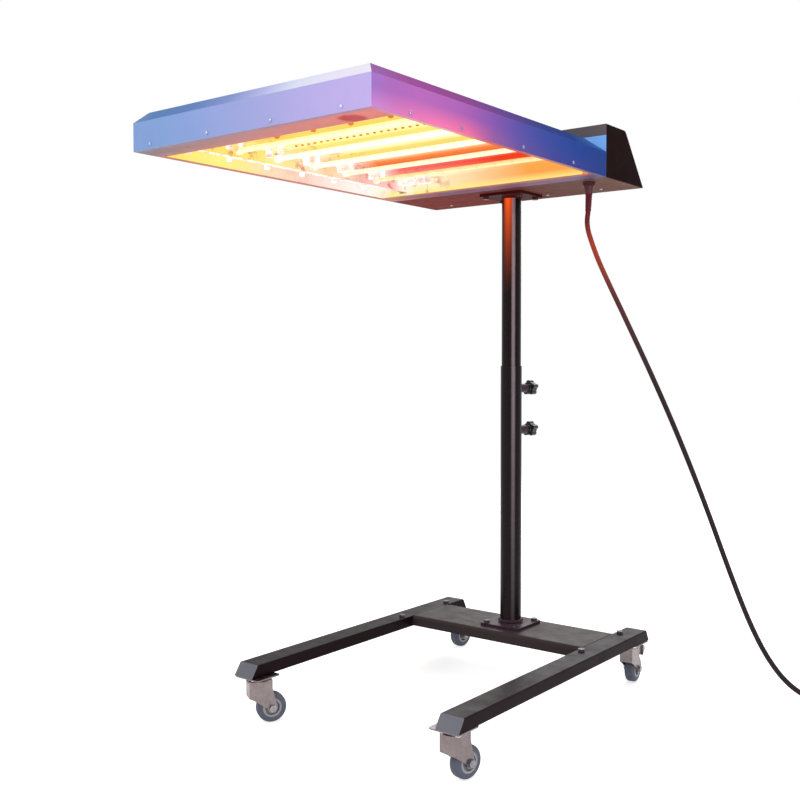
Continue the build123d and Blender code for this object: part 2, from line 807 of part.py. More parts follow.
def make_reflector():
    """Bright tray, folded down to the frame, with a ridge between each two tubes."""
    low = frame_top + contact_gap
    tray = block(-reflector_x, reflector_x, reflector_front, reflector_rear, low, reflector_top)
    tray -= block(-reflector_x + reflector_sheet, reflector_x - reflector_sheet,
                  reflector_front + reflector_sheet, reflector_rear - reflector_sheet,
                  low - overrun, reflector_top - reflector_sheet)
    under = reflector_top - reflector_sheet
    half = reflector_ridge_width / 2
    inside = reflector_x - reflector_sheet
    for y in [place + tube_pitch / 2 for place in tube_places]:
        ridge = [(y - half, under), (y, under - reflector_ridge), (y + half, under)]
        tray += prism_x(ridge, -inside, inside)
        groove = [(y - half + reflector_sheet, reflector_top), (y, reflector_top - reflector_ridge),
                  (y + half - reflector_sheet, reflector_top)]
        tray -= prism_x(groove, -inside, inside)
    return tray - wire_window(reflector_rear - reflector_sheet, reflector_rear)


def make_insulation_board():
    """Board that lies on the reflector, under the roof."""
    side = head_side - board_margin
    front = head_front + board_margin
    rear = head_rear - rear_slope_depth - board_margin / 2
    return block(-side, side, front, rear, reflector_top, reflector_top + board_thickness)


left_rail = -(tube_left + cap_length / 2)
right_rail = tube_right + cap_length / 2


def make_tube_rail(x):
    """Upright strip from the front lip to the rear lip, with a hole for each end cap."""
    front = reflector_front + reflector_sheet + rail_end_margin
    rear = reflector_rear - reflector_sheet - rail_end_margin
    half = rail_sheet / 2
    rail = block(x - half, x + half, front, rear, frame_top, head_underside + rail_rise)
    rail -= block(x - rail_sheet, x + rail_sheet, head_front + front_lip, head_rear - rear_lip,
                  frame_top - overrun, head_underside + rail_gap)
    for y in tube_places:
        rail -= bar_x(cap_diameter + 2 * cap_room, x - rail_sheet, x + rail_sheet, y, tube_z)
    peak = reflector_top - reflector_sheet - reflector_ridge
    if head_underside + rail_rise > peak:
        for y in [place + tube_pitch / 2 for place in tube_places]:
            rail -= block(x - rail_sheet, x + rail_sheet, y - reflector_ridge_width / 2,
                          y + reflector_ridge_width / 2, peak - contact_gap, reflector_top)
    return rail


def make_quartz_tube(y):
    """Clear tube, its ends in the caps' sockets."""
    reach = cap_socket - contact_gap
    outer = bar_x(tube_diameter, -tube_left - reach, tube_right + reach, y, tube_z)
    bore = bar_x(tube_diameter - 2 * tube_wall_glass, -tube_left - cap_length, tube_right + cap_length, y, tube_z)
    return outer - bore


def make_heater_element(y):
    """Resistance winding in a tube, as a round bar of its outer size, held by both caps."""
    return bar_x(element_diameter, -tube_left - cap_socket, tube_right + cap_socket, y, tube_z)


def make_end_caps():
    """Ceramic cap at each end of each tube."""
    caps = []
    for y in tube_places:
        socket = tube_diameter + 2 * contact_gap
        left = bar_x(cap_diameter, -tube_left - cap_length, -tube_left, y, tube_z)
        caps.append(left - bar_x(socket, -tube_left - cap_socket, -tube_left + overrun, y, tube_z))
        right = bar_x(cap_diameter, tube_right, tube_right + cap_length, y, tube_z)
        caps.append(right - bar_x(socket, tube_right - overrun, tube_right + cap_socket, y, tube_z))
    return caps


terminal_front = head_rear + cover_sheet + 2 * wire_diameter
terminal_x = sum(wire_lanes()) / tube_count


def make_heater_wiring():
    """A wire from each left cap to the terminal block, and a bus bar along the right caps."""
    pieces = []
    for y, lane in zip(tube_places, wire_lanes()):
        points = [(-tube_left - cap_length, y, tube_z), (lane, y, tube_z), (lane, terminal_front, tube_z)]
        path = FilletPolyline(*points, radius=wire_bend)
        start = Plane(origin=path @ 0, z_dir=path % 0)
        pieces.append(sweep(start * Circle(wire_diameter / 2), path=path))
    x0 = tube_right + cap_length
    half = bus_width / 2
    bus = block(x0, x0 + bus_sheet, tube_places[0] - half, tube_places[-1] + half, tube_z - half, tube_z + half)
    pieces.append(bus)
    return pieces


# Control box


def cover_rear(z):
    """The y of the box's sloping rear face at a height."""
    share = (cover_top - z) / cover_height
    return cover_top_back + (cover_bottom_back - cover_top_back) * share


cover_slope = math.atan2(cover_bottom_back - cover_top_back, cover_height)
cover_shift = cover_sheet / math.cos(cover_slope)


def make_control_cover():
    """Black folded cover with a sloping rear face, and in-turned lips over its floor."""
    outer = prism_x([(head_rear, head_underside), (head_rear, cover_top), (cover_top_back, cover_top),
                     (cover_bottom_back, head_underside)], -head_side, head_side)
    ridge = outer.edges().filter_by(Axis.X).group_by(Axis.Z)[-1].sort_by(Axis.Y)[-1]
    outer = fillet(ridge, cover_round)
    ends = outer.faces().filter_by(Axis.X).edges().filter_by(
        lambda edge: edge.center().Z > head_underside + overrun)
    outer = fillet(ends, cover_edge)
    low, high = head_underside - overrun, cover_top - cover_sheet
    inner = prism_x([(head_rear + cover_sheet, low), (head_rear + cover_sheet, high),
                     (cover_rear(high) - cover_shift, high), (cover_rear(low) - cover_shift, low)],
                    -head_side + cover_sheet, head_side - cover_sheet)
    inner_ridge = inner.edges().filter_by(Axis.X).group_by(Axis.Z)[-1].sort_by(Axis.Y)[-1]
    cover = outer - fillet(inner_ridge, cover_round - cover_sheet)
    lip_low = head_underside + floor_sheet
    lip_high = lip_low + cover_sheet
    lip = block(-head_side + cover_sheet, head_side - cover_sheet, head_rear + cover_sheet,
                cover_rear(lip_high) - cover_shift / 2, lip_low, lip_high)
    lip -= block(-head_side + cover_side_lip, head_side - cover_side_lip, head_rear + cover_sheet - overrun,
                 cover_bottom_back - cover_rear_lip, lip_low - overrun, lip_high + overrun)
    cover += lip
    for point, direction in floor_screw_points():
        cover -= screw_hole(point, direction)
    cover -= on_panel(dial_x) * Cylinder(dial_shaft_diameter / 2 + dial_room / 2, 2 * dial_shaft)
    cut_length = bezel_length - 2 * bezel_wall + 2 * floor_room
    cut_width = bezel_width - 2 * bezel_wall + 2 * floor_room
    cover -= on_panel(switch_x) * Box(cut_width, cut_length, 2 * dial_shaft)
    return cover - wire_window(head_rear, head_rear + cover_sheet)


def on_panel(x):
    """A frame on the sloping rear face: X across the box, Y up the slope, Z outwards."""
    z = head_underside + control_height
    normal = (0, math.cos(cover_slope), math.sin(cover_slope))
    return Plane(origin=(x, cover_rear(z), z), x_dir=(-1, 0, 0), z_dir=normal).location


def make_control_floor():
    """Floor sheet of the control box, flush with the head's underside."""
    side = head_side - cover_sheet - floor_room
    top = head_underside + floor_sheet
    rear = cover_rear(top) - cover_shift - floor_room
    floor = block(-side, side, head_rear + cover_sheet + floor_room, rear, head_underside, top)
    for x, y in head_plate_bolt_places():
        floor -= post(m8_diameter + 2 * bolt_hole_room, head_underside - overrun, top + overrun, x, y)
    for point, direction in floor_screw_points():
        floor -= screw_hole(point, direction)
    return floor - post(gland_thread_diameter, head_underside - overrun, top + overrun, gland_x, -gland_front)


def make_power_dial():
    """Round knob with a skirt and a pointer, on a shaft through the cover."""
    low = dial_room
    dial = Pos(0, 0, low + dial_skirt / 2) * Cylinder(dial_skirt_diameter / 2, dial_skirt)
    grip = Pos(0, 0, low + dial_height / 2) * Cylinder(dial_diameter / 2, dial_height)
    grip = fillet(grip.edges().group_by(Axis.Z)[-1], dial_pointer / 2)
    dial += grip
    half = dial_skirt_diameter / 2
    dial += Pos(0, half / 2, low + dial_height / 2) * Box(dial_pointer, half, dial_height)
    dial += Pos(0, 0, low - dial_shaft / 2) * Cylinder(dial_shaft_diameter / 2, dial_shaft)
    collar_top = -cover_sheet - dial_room
    dial += Pos(0, 0, collar_top - dial_collar / 2) * Cylinder(dial_collar_diameter / 2, dial_collar)
    return on_panel(dial_x) * dial


def make_switch_bezel():
    """Rocker switch housing with its frame on the cover."""
    inner_length = 2 * (rocker_radius + rocker_room)
    inner_width = rocker_width + 2 * rocker_room
    frame = Pos(0, 0, bezel_proud / 2) * Box(bezel_width, bezel_length, bezel_proud)
    body = Pos(0, 0, -bezel_depth / 2) * Box(bezel_width - 2 * bezel_wall, bezel_length - 2 * bezel_wall, bezel_depth)
    cavity_depth = rocker_pivot_depth + rocker_radius + rocker_room
    cavity = Pos(0, 0, (bezel_proud + overrun - cavity_depth) / 2)
    cavity *= Box(inner_width, inner_length, bezel_proud + overrun + cavity_depth)
    hole_length = rocker_width + 2 * rocker_pin + 2 * rocker_room
    hole = Pos(0, 0, -rocker_pivot_depth) * Rot(0, 90, 0)
    hole *= Cylinder(rocker_pin_diameter / 2 + screw_room, hole_length)
    return on_panel(switch_x) * (frame + body - cavity - hole)


def make_power_switch():
    """Rocker on its two pins, resting with one end pressed in."""
    reach = rocker_radius + overrun
    face = Polygon((-reach, rocker_rise), (0, rocker_valley), (reach, rocker_rise), (reach, -rocker_foot),
                   (-reach, -rocker_foot), align=None)
    face &= Circle(rocker_radius)
    rocker = extrude(Pos(-rocker_width / 2, 0, 0) * (Plane.YZ * face), rocker_width, dir=(1, 0, 0))
    rocker += Rot(0, 90, 0) * Cylinder(rocker_pin_diameter / 2, rocker_width + 2 * rocker_pin)
    return on_panel(switch_x) * Pos(0, 0, -rocker_pivot_depth) * Rot(rocker_tilt, 0, 0) * rocker


def make_terminal_block():
    """Insulating block on the box's floor, where the heater wires end."""
    half = block_width / 2
    low = head_underside + floor_sheet
    body = block(terminal_x - half, terminal_x + half, terminal_front, terminal_front + block_depth,
                 low, low + block_height)
    return fillet(body.edges().group_by(Axis.Z)[-1], block_edge)


def make_cord_gland():
    """Gland under the box: hexagon, domed nut, thread through the floor and locknut."""
    low = head_underside - gland_drop
    hex_low = head_underside - gland_hex
    x, y = gland_x, -gland_front
    gland = hexagon(gland_hex_flats, hex_low, head_underside, x, y)
    dome = Pos(x, y, (low + hex_low) / 2) * Cone(gland_tip_diameter / 2, gland_nut_diameter / 2, hex_low - low)
    top = head_underside + floor_sheet
    gland += dome + post(gland_thread_diameter, head_underside, top, x, y)
    return gland + hexagon(gland_hex_flats, top, top + gland_locknut, x, y)


# Mains cord


def out_along(reach, sideways, z):
    """A point by its distance from the gland along the cord's heading and to the right of it."""
    turn = math.radians(cord_heading)
    x = gland_x + reach * math.cos(turn) + sideways * math.sin(turn)
    y = -gland_front + reach * math.sin(turn) - sideways * math.cos(turn)
    return Vector(x, y, z)


def route_radii(points):
    """The radius of the arc at each inner point of a route, as large as its two runs allow."""
    radii = []
    for a, b, c in zip(points, points[1:], points[2:]):
        turn = math.radians((b - a).get_angle(c - b))
        shorter = min((b - a).length, (c - b).length)
        radii.append(cord_arc_share * shorter / math.tan(turn / 2))
    return radii


def tube_on(path):
    """The cord's round section carried along a path."""
    start = Plane(origin=path @ 0, z_dir=path % 0)
    return sweep(start * Circle(cord_diameter / 2), path=path)


def compare(name, tube, path):
    """Prints a tube's volume against its section times its length."""
    section = math.pi * cord_diameter ** 2 / 4
    ratio = sum(solid.volume for solid in tube.solids()) / (section * path.length)
    print(f"{name}: length {path.length:.0f} mm, volume over section times length {ratio:.4f}")


def make_power_cord():
    """The free cord, from the gland to where it meets the coil on the floor."""
    points = [out_along(reach, 0, z) for reach, z in cord_route]
    radii = route_radii(points)
    print("cord radii", [round(radius) for radius in radii])
    path = FilletPolyline(*points, radius=radii)
    tube = tube_on(path)
    compare("power_cord", tube, path)
    return tube


coil_step = cord_diameter + coil_turn_gap
coil_low = cord_diameter / 2 + floor_gap
coil_high = coil_low + coil_step


def coil_radii():
    """Half-turn radii: in towards the middle of the coil, and out again."""
    middle = coil_half_turns // 2
    inmost = coil_middle_radius - middle * coil_step / 4
    return [inmost + abs(i - middle) * coil_step / 2 for i in range(coil_half_turns)]


def coil_arcs():
    """The start, middle and end of each half turn, relative to the coil's first point."""
    arcs = []
    point = Vector(cord_diameter, 0, coil_low)
    ahead, inwards = Vector(1, 0, 0), Vector(0, 1, 0)
    for i, radius in enumerate(coil_radii()):
        across = inwards * (2 * radius)
        if i == coil_half_turns // 2:
            across = inwards * math.sqrt(4 * radius ** 2 - coil_step ** 2) + Vector(0, 0, coil_step)
        end = point + across
        arcs.append((point, point + across / 2 + ahead * radius, end))
        point, ahead, inwards = end, -ahead, -inwards
    return arcs


def least_gap(points, skip):
    """The least distance between parts of the coil's centreline more than some points apart."""
    gap = math.inf
    for i, p in enumerate(points):
        for q in points[i + skip:]:
            gap = min(gap, (p - q).length)
    return gap - cord_diameter


def make_cord_coil():
    """The rest of the cord, coiled on the floor in two layers."""
    shift = cord_route[-1][0]

    def placed(point):
        return out_along(shift + point.X, point.Y, point.Z)

    arcs = coil_arcs()
    first, last = arcs[0][0], arcs[-1][2]
    end = last - Vector(coil_tail, 0, 0)
    edges = Line(placed(first - Vector(cord_diameter, 0, 0)), placed(first)).edges()
    for a, b, c in arcs:
        edges += ThreePointArc(placed(a), placed(b), placed(c)).edges()
    edges += Line(placed(last), placed(end)).edges()
    path = Wire(edges)
    tube = tube_on(path)
    compare("cord_coil", tube, path)
    count = samples_per_half_turn * coil_half_turns
    samples = [path.position_at(i / count) for i in range(count + 1)]
    print("coil radii", [round(radius, 1) for radius in coil_radii()])
    print("least gap of the coil to itself", round(least_gap(samples, samples_per_half_turn), 2))
    return tube, placed(end), (placed(end) - placed(last)).normalized()


def make_power_plug(start, direction):
    """Two-pin plug on the cord's end, lying on the floor."""
    radius = coil_high - floor_gap
    relief = Pos(0, 0, plug_relief / 2) * Cone(cord_diameter / 2 + cover_sheet, radius / 2 + cover_sheet, plug_relief)
    body_length = plug_length - plug_relief
    body = Pos(0, 0, plug_relief + body_length / 2) * Cylinder(radius - plug_flange_extra, body_length)
    body = fillet(body.edges().group_by(Axis.Z)[0], plug_flange)
    plug = relief + body
    plug += Pos(0, 0, plug_length - plug_flange / 2) * Cylinder(radius, plug_flange)
    for side in (-1, 1):
        pin = Pos(side * plug_pin_spacing / 2, 0, plug_length + plug_pin / 2) * Cylinder(plug_pin_diameter / 2, plug_pin)
        plug += fillet(pin.edges().group_by(Axis.Z)[-1], plug_pin_diameter / 4)
    across = Vector(0, 0, 1).cross(direction)
    return Plane(origin=start, x_dir=across, z_dir=direction).location * plug


def make_base():
    """Legs, crossbar and their bolts."""
    save("left_leg", make_leg(-1))
    save("right_leg", make_leg(1))
    save("crossbar", make_crossbar())
    save_group("base_bolts", make_base_bolts())
    save_group("caster_bolts", make_caster_bolts())


def make_mast():
    """Both mast tubes, their clamps, the foot flange and the head plate."""
    save("mast_flange", make_mast_flange())
    save("outer_mast", make_outer_mast())
    save_group("clamp_bosses", [make_clamp_boss(z) for z in clamp_heights.values()])
    for name, z in clamp_heights.items():
        save(f"{name}_clamp_pad", make_clamp_pad(z))
        save(f"{name}_clamp_screw", make_clamp_screw(z))
        save(f"{name}_clamp_knob", make_clamp_knob(z))
    save("guide_bush", make_guide_bush())
    save("inner_mast", make_inner_mast())
    save("head_plate", make_head_plate())
    save_group("head_plate_bolts", make_head_plate_bolts())


def make_head():
    """Hood, frame, reflector and heaters."""
    save("head_shell", make_head_shell())
    save("bottom_frame", make_bottom_frame())
    save("reflector", make_reflector())
    save("insulation_board", make_insulation_board())
    save_group("tube_rails", [make_tube_rail(x) for x in (left_rail, right_rail)])
    save_group("quartz_tubes", [make_quartz_tube(y) for y in tube_places])
    save_group("heater_elements", [make_heater_element(y) for y in tube_places])
    save_group("tube_end_caps", make_end_caps())
    save_group("heater_wiring", make_heater_wiring())
    screws = screw_places() + floor_screw_points()
    save_group("cover_screws", [make_screw(point, direction) for point, direction in screws])


def make_controls():
    """Control box with what is on and in it."""
    save("control_cover", make_control_cover())
    save("control_floor", make_control_floor())
    save("power_dial", make_power_dial())
    save("switch_bezel", make_switch_bezel())
    save("power_switch", make_power_switch())
    save("terminal_block", make_terminal_block())
    save("cord_gland", make_cord_gland())


def make_cord():
    """Free cord, coil and plug."""
    save("power_cord", make_power_cord())
    coil, end, direction = make_cord_coil()
    save("cord_coil", coil)
    save("power_plug", make_power_plug(end, direction))


os.makedirs("parts", exist_ok=True)
make_casters()
make_base()
make_mast()
make_head()
make_controls()
make_cord()
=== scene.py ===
"""Flash dryer: the finishes and the finer pieces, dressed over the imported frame.

Metres, in the frame's own axes: +Z up, the heater head reaches out towards -Y, and the origin
lies on the floor below the middle of the unit.
"""

import logging
import math
from dataclasses import dataclass, field
from enum import Enum
from typing import Iterable, Optional, Sequence

import bmesh
import bpy
from mathutils import Matrix, Vector


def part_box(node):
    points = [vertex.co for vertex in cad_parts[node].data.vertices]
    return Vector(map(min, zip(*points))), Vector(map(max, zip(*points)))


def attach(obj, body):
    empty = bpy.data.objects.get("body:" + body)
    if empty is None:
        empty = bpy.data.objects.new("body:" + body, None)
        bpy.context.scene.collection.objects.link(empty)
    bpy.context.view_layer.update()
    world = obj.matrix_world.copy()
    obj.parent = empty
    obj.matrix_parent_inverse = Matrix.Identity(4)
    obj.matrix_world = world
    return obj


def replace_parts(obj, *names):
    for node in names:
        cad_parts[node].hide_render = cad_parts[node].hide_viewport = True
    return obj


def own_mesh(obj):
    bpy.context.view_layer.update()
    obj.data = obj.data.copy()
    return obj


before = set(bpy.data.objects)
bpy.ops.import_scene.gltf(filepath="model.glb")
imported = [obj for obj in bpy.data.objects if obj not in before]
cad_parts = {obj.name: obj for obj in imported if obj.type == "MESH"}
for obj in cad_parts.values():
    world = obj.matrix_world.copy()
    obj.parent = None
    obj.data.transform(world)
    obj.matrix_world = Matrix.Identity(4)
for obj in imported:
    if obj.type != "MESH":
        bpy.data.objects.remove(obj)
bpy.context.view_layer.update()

log = logging.getLogger("flash_dryer")

Colour = tuple[float, float, float]
Stops = tuple[tuple[float, Colour], ...]
Span = tuple[float, float]
Place = tuple[float, float, float]
Socket = bpy.types.NodeSocket
Material = bpy.types.Material
Mesh = bpy.types.Mesh
Object = bpy.types.Object
BMesh = bmesh.types.BMesh

MAST_Y = 0.3189329
HEAD_FRONT = -0.5010671
HEAD_REAR = 0.2369329
HEAD_SIDE = 0.28
UNDERSIDE = 1.1
PANEL_RISE = 0.108
PANEL_RUN = 0.086
CASTERS = ("front_left", "front_right", "rear_left", "rear_right")
BRAKED = ("rear_left", "rear_right")
LEFT, RIGHT, FRONT, REAR, DOWN = (-1, 0, 0), (1, 0, 0), (0, -1, 0), (0, 1, 0), (0, 0, -1)
DUST = (0.42, 0.4, 0.38)
GRIME = (0.09, 0.07, 0.055)
SINGED = (0.45, 0.3, 0.16)


class Slot(Enum):
    """The record's material slots, one of which each new piece holds."""

    GLOWING_WIRE = "glowing_wire"
    CERAMIC = "white_ceramic"
    STEEL = "bright_steel"
    KNOB = "knob_plastic"
    RUBBER = "cord_rubber"


def tone(red: int, green: int, blue: int) -> Colour:
    """A colour as linear light, from screen values between 0 and 255."""
    return tuple(c / 3294.6 if c <= 10 else ((c / 255 + 0.055) / 1.055) ** 2.4 for c in (red, green, blue))


def ramp(*stops: tuple[float, int, int, int]) -> Stops:
    """Colour stops along an axis, from places in metres and screen values."""
    return tuple((place, tone(*screen)) for place, *screen in stops)


def mm(*points: Span) -> list[Span]:
    """An outline in metres, from radius and height in millimetres."""
    return [(radius / 1000, height / 1000) for radius, height in points]


class Graph:
    """One material's node tree, with short names for the nodes that the finishes share."""

    def __init__(self, name: str) -> None:
        """Starts a tree with a Principled shader.

        Args:
            name: The material's name.
        """
        self.material = bpy.data.materials.new(name)
        self.material.use_nodes = True
        self.tree = self.material.node_tree
        self.tree.nodes.clear()
        output = self.tree.nodes.new("ShaderNodeOutputMaterial")
        self.shader = self.tree.nodes.new("ShaderNodeBsdfPrincipled")
        self.tree.links.new(self.shader.outputs["BSDF"], output.inputs["Surface"])
        self.place = self.tree.nodes.new("ShaderNodeTexCoord").outputs["Object"]

    def node(self, kind: str, **inputs: object) -> bpy.types.Node:
        """Adds a node and sets or links its inputs, with underscores in place of spaces.

        Args:
            kind: The node's type, without the ShaderNode in front.
            inputs: Numbers, colours or sockets by input name.

        Returns:
            The node.
        """
        node = self.tree.nodes.new("ShaderNode" + kind)
        for name, value in inputs.items():
            self.feed(node.inputs[name.replace("_", " ")], value)
        return node

    def feed(self, target: Socket, value: object) -> None:
        """Sets an input to a number or colour, or links it to a socket.

        Args:
            target: The input socket.
            value: A number, a colour or vector of three numbers, or an output socket.
        """
        if isinstance(value, Socket):
            self.tree.links.new(value, target)
        elif target.type == "RGBA":
            target.default_value = (*value[:3], 1.0)
        else:
            target.default_value = value

    def set(self, **inputs: object) -> None:
        """Sets the Principled shader's inputs, with underscores in place of spaces."""
        for name, value in inputs.items():
            self.feed(self.shader.inputs[name.replace("_", " ")], value)

    def stretched(self, *scale: float) -> Socket:
        """Object coordinates stretched by a scale for each axis."""
        return self.node("Mapping", Vector=self.place, Scale=scale).outputs["Vector"]

    def noise(self, scale: float, detail: float = 3.0, rough: float = 0.55, at: Optional[Socket] = None) -> Socket:
        """Noise between 0 and 1, by features to the metre, octaves and their roughness."""
        made = self.node("TexNoise", Vector=at or self.place, Scale=scale, Detail=detail, Roughness=rough)
        return made.outputs["Fac"]

    def patches(self, scale: float, low: float, high: float, to_low: float = 0.0, to_high: float = 1.0) -> Socket:
        """Uneven patches of noise, whose range from low to high becomes to_low to to_high."""
        return self.remap(self.noise(scale, 5.0, 0.65), low, high, to_low, to_high)

    def cells(self, scale: float) -> Socket:
        """The distance to the nearest point of a Voronoi pattern."""
        return self.node("TexVoronoi", Vector=self.place, Scale=scale).outputs["Distance"]

    def bands(self, scale: float, axis: str, distortion: float = 0.0) -> Socket:
        """Smooth bands across an axis, as a factor."""
        made = self.node("TexWave", Vector=self.place, Scale=scale, Distortion=distortion)
        made.bands_direction = axis
        return made.outputs["Fac"]

    def part(self, axis: str, of: Optional[Socket] = None) -> Socket:
        """One coordinate of the object's place, or of another vector."""
        return self.node("SeparateXYZ", Vector=of or self.place).outputs[axis]

    def surface(self) -> Socket:
        """The surface's normal."""
        return self.node("NewGeometry").outputs["Normal"]

    def normal(self, axis: str) -> Socket:
        """One part of the surface's normal."""
        return self.part(axis, self.surface())

    def toward(self, direction: Sequence[float], low: float, high: float) -> Socket:
        """A factor for faces that look a certain way, from the cosines at which it is 0 and 1."""
        return self.remap(self.math("DOT_PRODUCT", self.surface(), direction, "VectorMath"), low, high)

    def near(self, point: Sequence[float], reach: float) -> Socket:
        """A factor that fades from 1 at a point to 0 at a distance from it."""
        return self.remap(self.math("DISTANCE", self.place, point, "VectorMath"), reach, 0.0)

    def remap(self, value: Socket, low: float, high: float, to_low: float = 0.0, to_high: float = 1.0) -> Socket:
        """A value carried from the range low to high to another, and held inside it."""
        made = self.node("MapRange", Value=value, From_Min=low, From_Max=high, To_Min=to_low, To_Max=to_high)
        return made.outputs["Result"]

    def math(self, operation: str, first: object, second: object, kind: str = "Math") -> Socket:
        """One arithmetic step on two values, or on two vectors where the kind is VectorMath."""
        made = self.node(kind)
        made.operation = operation
        self.feed(made.inputs[0], first)
        self.feed(made.inputs[1], second)
        return made.outputs["Value"]

    def mix(self, share: object, first: object, second: object) -> Socket:
        """A mix of two colours.

        Args:
            share: How much of the second colour, as a number or socket.
            first: The first colour or socket.
            second: The second colour or socket.

        Returns:
            The mixed colour.
        """
        made = self.node("Mix")
        made.data_type = "RGBA"
        self.feed(made.inputs[0], share)
        self.feed(made.inputs[6], first)
        self.feed(made.inputs[7], second)
        return made.outputs[2]

    def brighten(self, colour: object, value: object) -> Socket:
        """A colour made lighter or darker by a value."""
        return self.node("HueSaturation", Color=colour, Value=value).outputs["Color"]

    def glow(self, heat: Socket, low: Colour, high: Colour, strength: float) -> None:
        """Paints light on the surface as emission, from a low to a high colour by a factor."""
        self.set(Emission_Color=self.mix(heat, low, high), Emission_Strength=strength)

    def along(self, axis: str, stops: Stops) -> Socket:
        """A colour read along an axis of the object.

        Args:
            axis: The axis.
            stops: The place in metres and the colour of each stop.

        Returns:
            The colour.
        """
        first, last = stops[0][0], stops[-1][0]
        made = self.node("ValToRGB", Fac=self.remap(self.part(axis), first, last))
        row = made.color_ramp.elements
        while len(row) < len(stops):
            row.new(0.5)
        for element, (place, colour) in zip(row, stops):
            element.position = (place - first) / (last - first)
            element.color = (*colour, 1.0)
        return made.outputs["Color"]

    def relief(self, height: Socket, depth: float, strength: float = 1.0, under: Optional[Socket] = None) -> Socket:
        """A bump of some depth, over another where one is given.

        Args:
            height: The height factor.
            depth: The relief's depth.
            strength: The bump's strength.
            under: A normal from another relief.

        Returns:
            The normal.
        """
        made = self.node("Bump", Height=height, Distance=depth, Strength=strength)
        if under is not None:
            self.feed(made.inputs["Normal"], under)
        return made.outputs["Normal"]

    def worn_edges(self, reach: float) -> Socket:
        """Where an outer edge is near, broken up by noise.

        Args:
            reach: How far from the edge the wear spreads.

        Returns:
            A factor that is 1 on worn edges.
        """
        bevel = self.node("Bevel", Radius=reach)
        bevel.samples = 4
        turned_away = self.math("DOT_PRODUCT", bevel.outputs["Normal"], self.surface(), "VectorMath")
        edge = self.remap(turned_away, 0.98, 0.8)
        return self.math("MULTIPLY", edge, self.patches(170.0, 0.52, 0.64))

    def dust(self, share: float) -> Socket:
        """Fine dust on faces that look up, in uneven patches, up to a share of cover."""
        up = self.remap(self.normal("Z"), 0.55, 1.0, 0.0, share)
        return self.math("MULTIPLY", up, self.patches(24.0, 0.35, 0.75, 0.25, 1.0))


def dress(material: Material, *nodes: str) -> None:
    """Gives carried-over nodes a finish, in every material slot they have.

    Args:
        material: The finish.
        nodes: The names of the nodes.
    """
    for name in nodes:
        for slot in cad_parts[name].material_slots:
            slot.material = material
        log.info("dressed %s in %s", name, material.name)


@dataclass(frozen=True)
class Finish:
    """A material with its settings."""

    name: str

    def fill(self, graph: Graph) -> None:
        """Sets the material's nodes; each finish replaces this."""

    def build(self) -> Material:
        """Builds the material."""
        graph = Graph(self.name)
        self.fill(graph)
        return graph.material

    def dress(self, *nodes: str) -> None:
        """Builds the material and gives it to carried-over nodes."""
        dress(self.build(), *nodes)


@dataclass(frozen=True)
class PowderCoat(Finish):
    """Baked powder paint with orange peel, dust and worn edges."""

    colour: Colour
    worn: Colour = (0.2, 0.19, 0.18)
    rough: float = 0.36
    specular: float = 0.06
    spread: float = 0.12
    peel: float = 520.0
    peel_depth: float = 0.00012
    dusty: float = 0.05
    wear_reach: float = 0.0012

    def shade(self, graph: Graph) -> object:
        """The paint's own colour before wear; finishes with colour changes replace this."""
        return self.colour

    def gloss(self, graph: Graph) -> object:
        """The paint's specular level; finishes with duller parts replace this."""
        return self.specular

    def light(self, graph: Graph) -> None:
        """Light of the paint's own; finishes near the heater replace this."""

    def fill(self, graph: Graph) -> None:
        """Sets the material's nodes."""
        coat = graph.brighten(self.shade(graph), graph.patches(5.0, 0.3, 0.7, 1 - self.spread, 1 + self.spread))
        dusty = graph.mix(graph.dust(self.dusty), coat, DUST)
        edges = graph.worn_edges(self.wear_reach)
        smear = graph.patches(31.0, 0.3, 0.7, self.rough - 0.06, self.rough + 0.09)
        graph.set(Base_Color=graph.mix(edges, dusty, self.worn), Specular_IOR_Level=self.gloss(graph),
                  Roughness=graph.math("ADD", smear, graph.math("MULTIPLY", edges, 0.15)))
        peel = graph.relief(graph.noise(self.peel, 2.0), self.peel_depth, 0.35)
        graph.set(Normal=graph.relief(graph.noise(9.0, 2.0), 0.0006, 0.12, peel))
        self.light(graph)


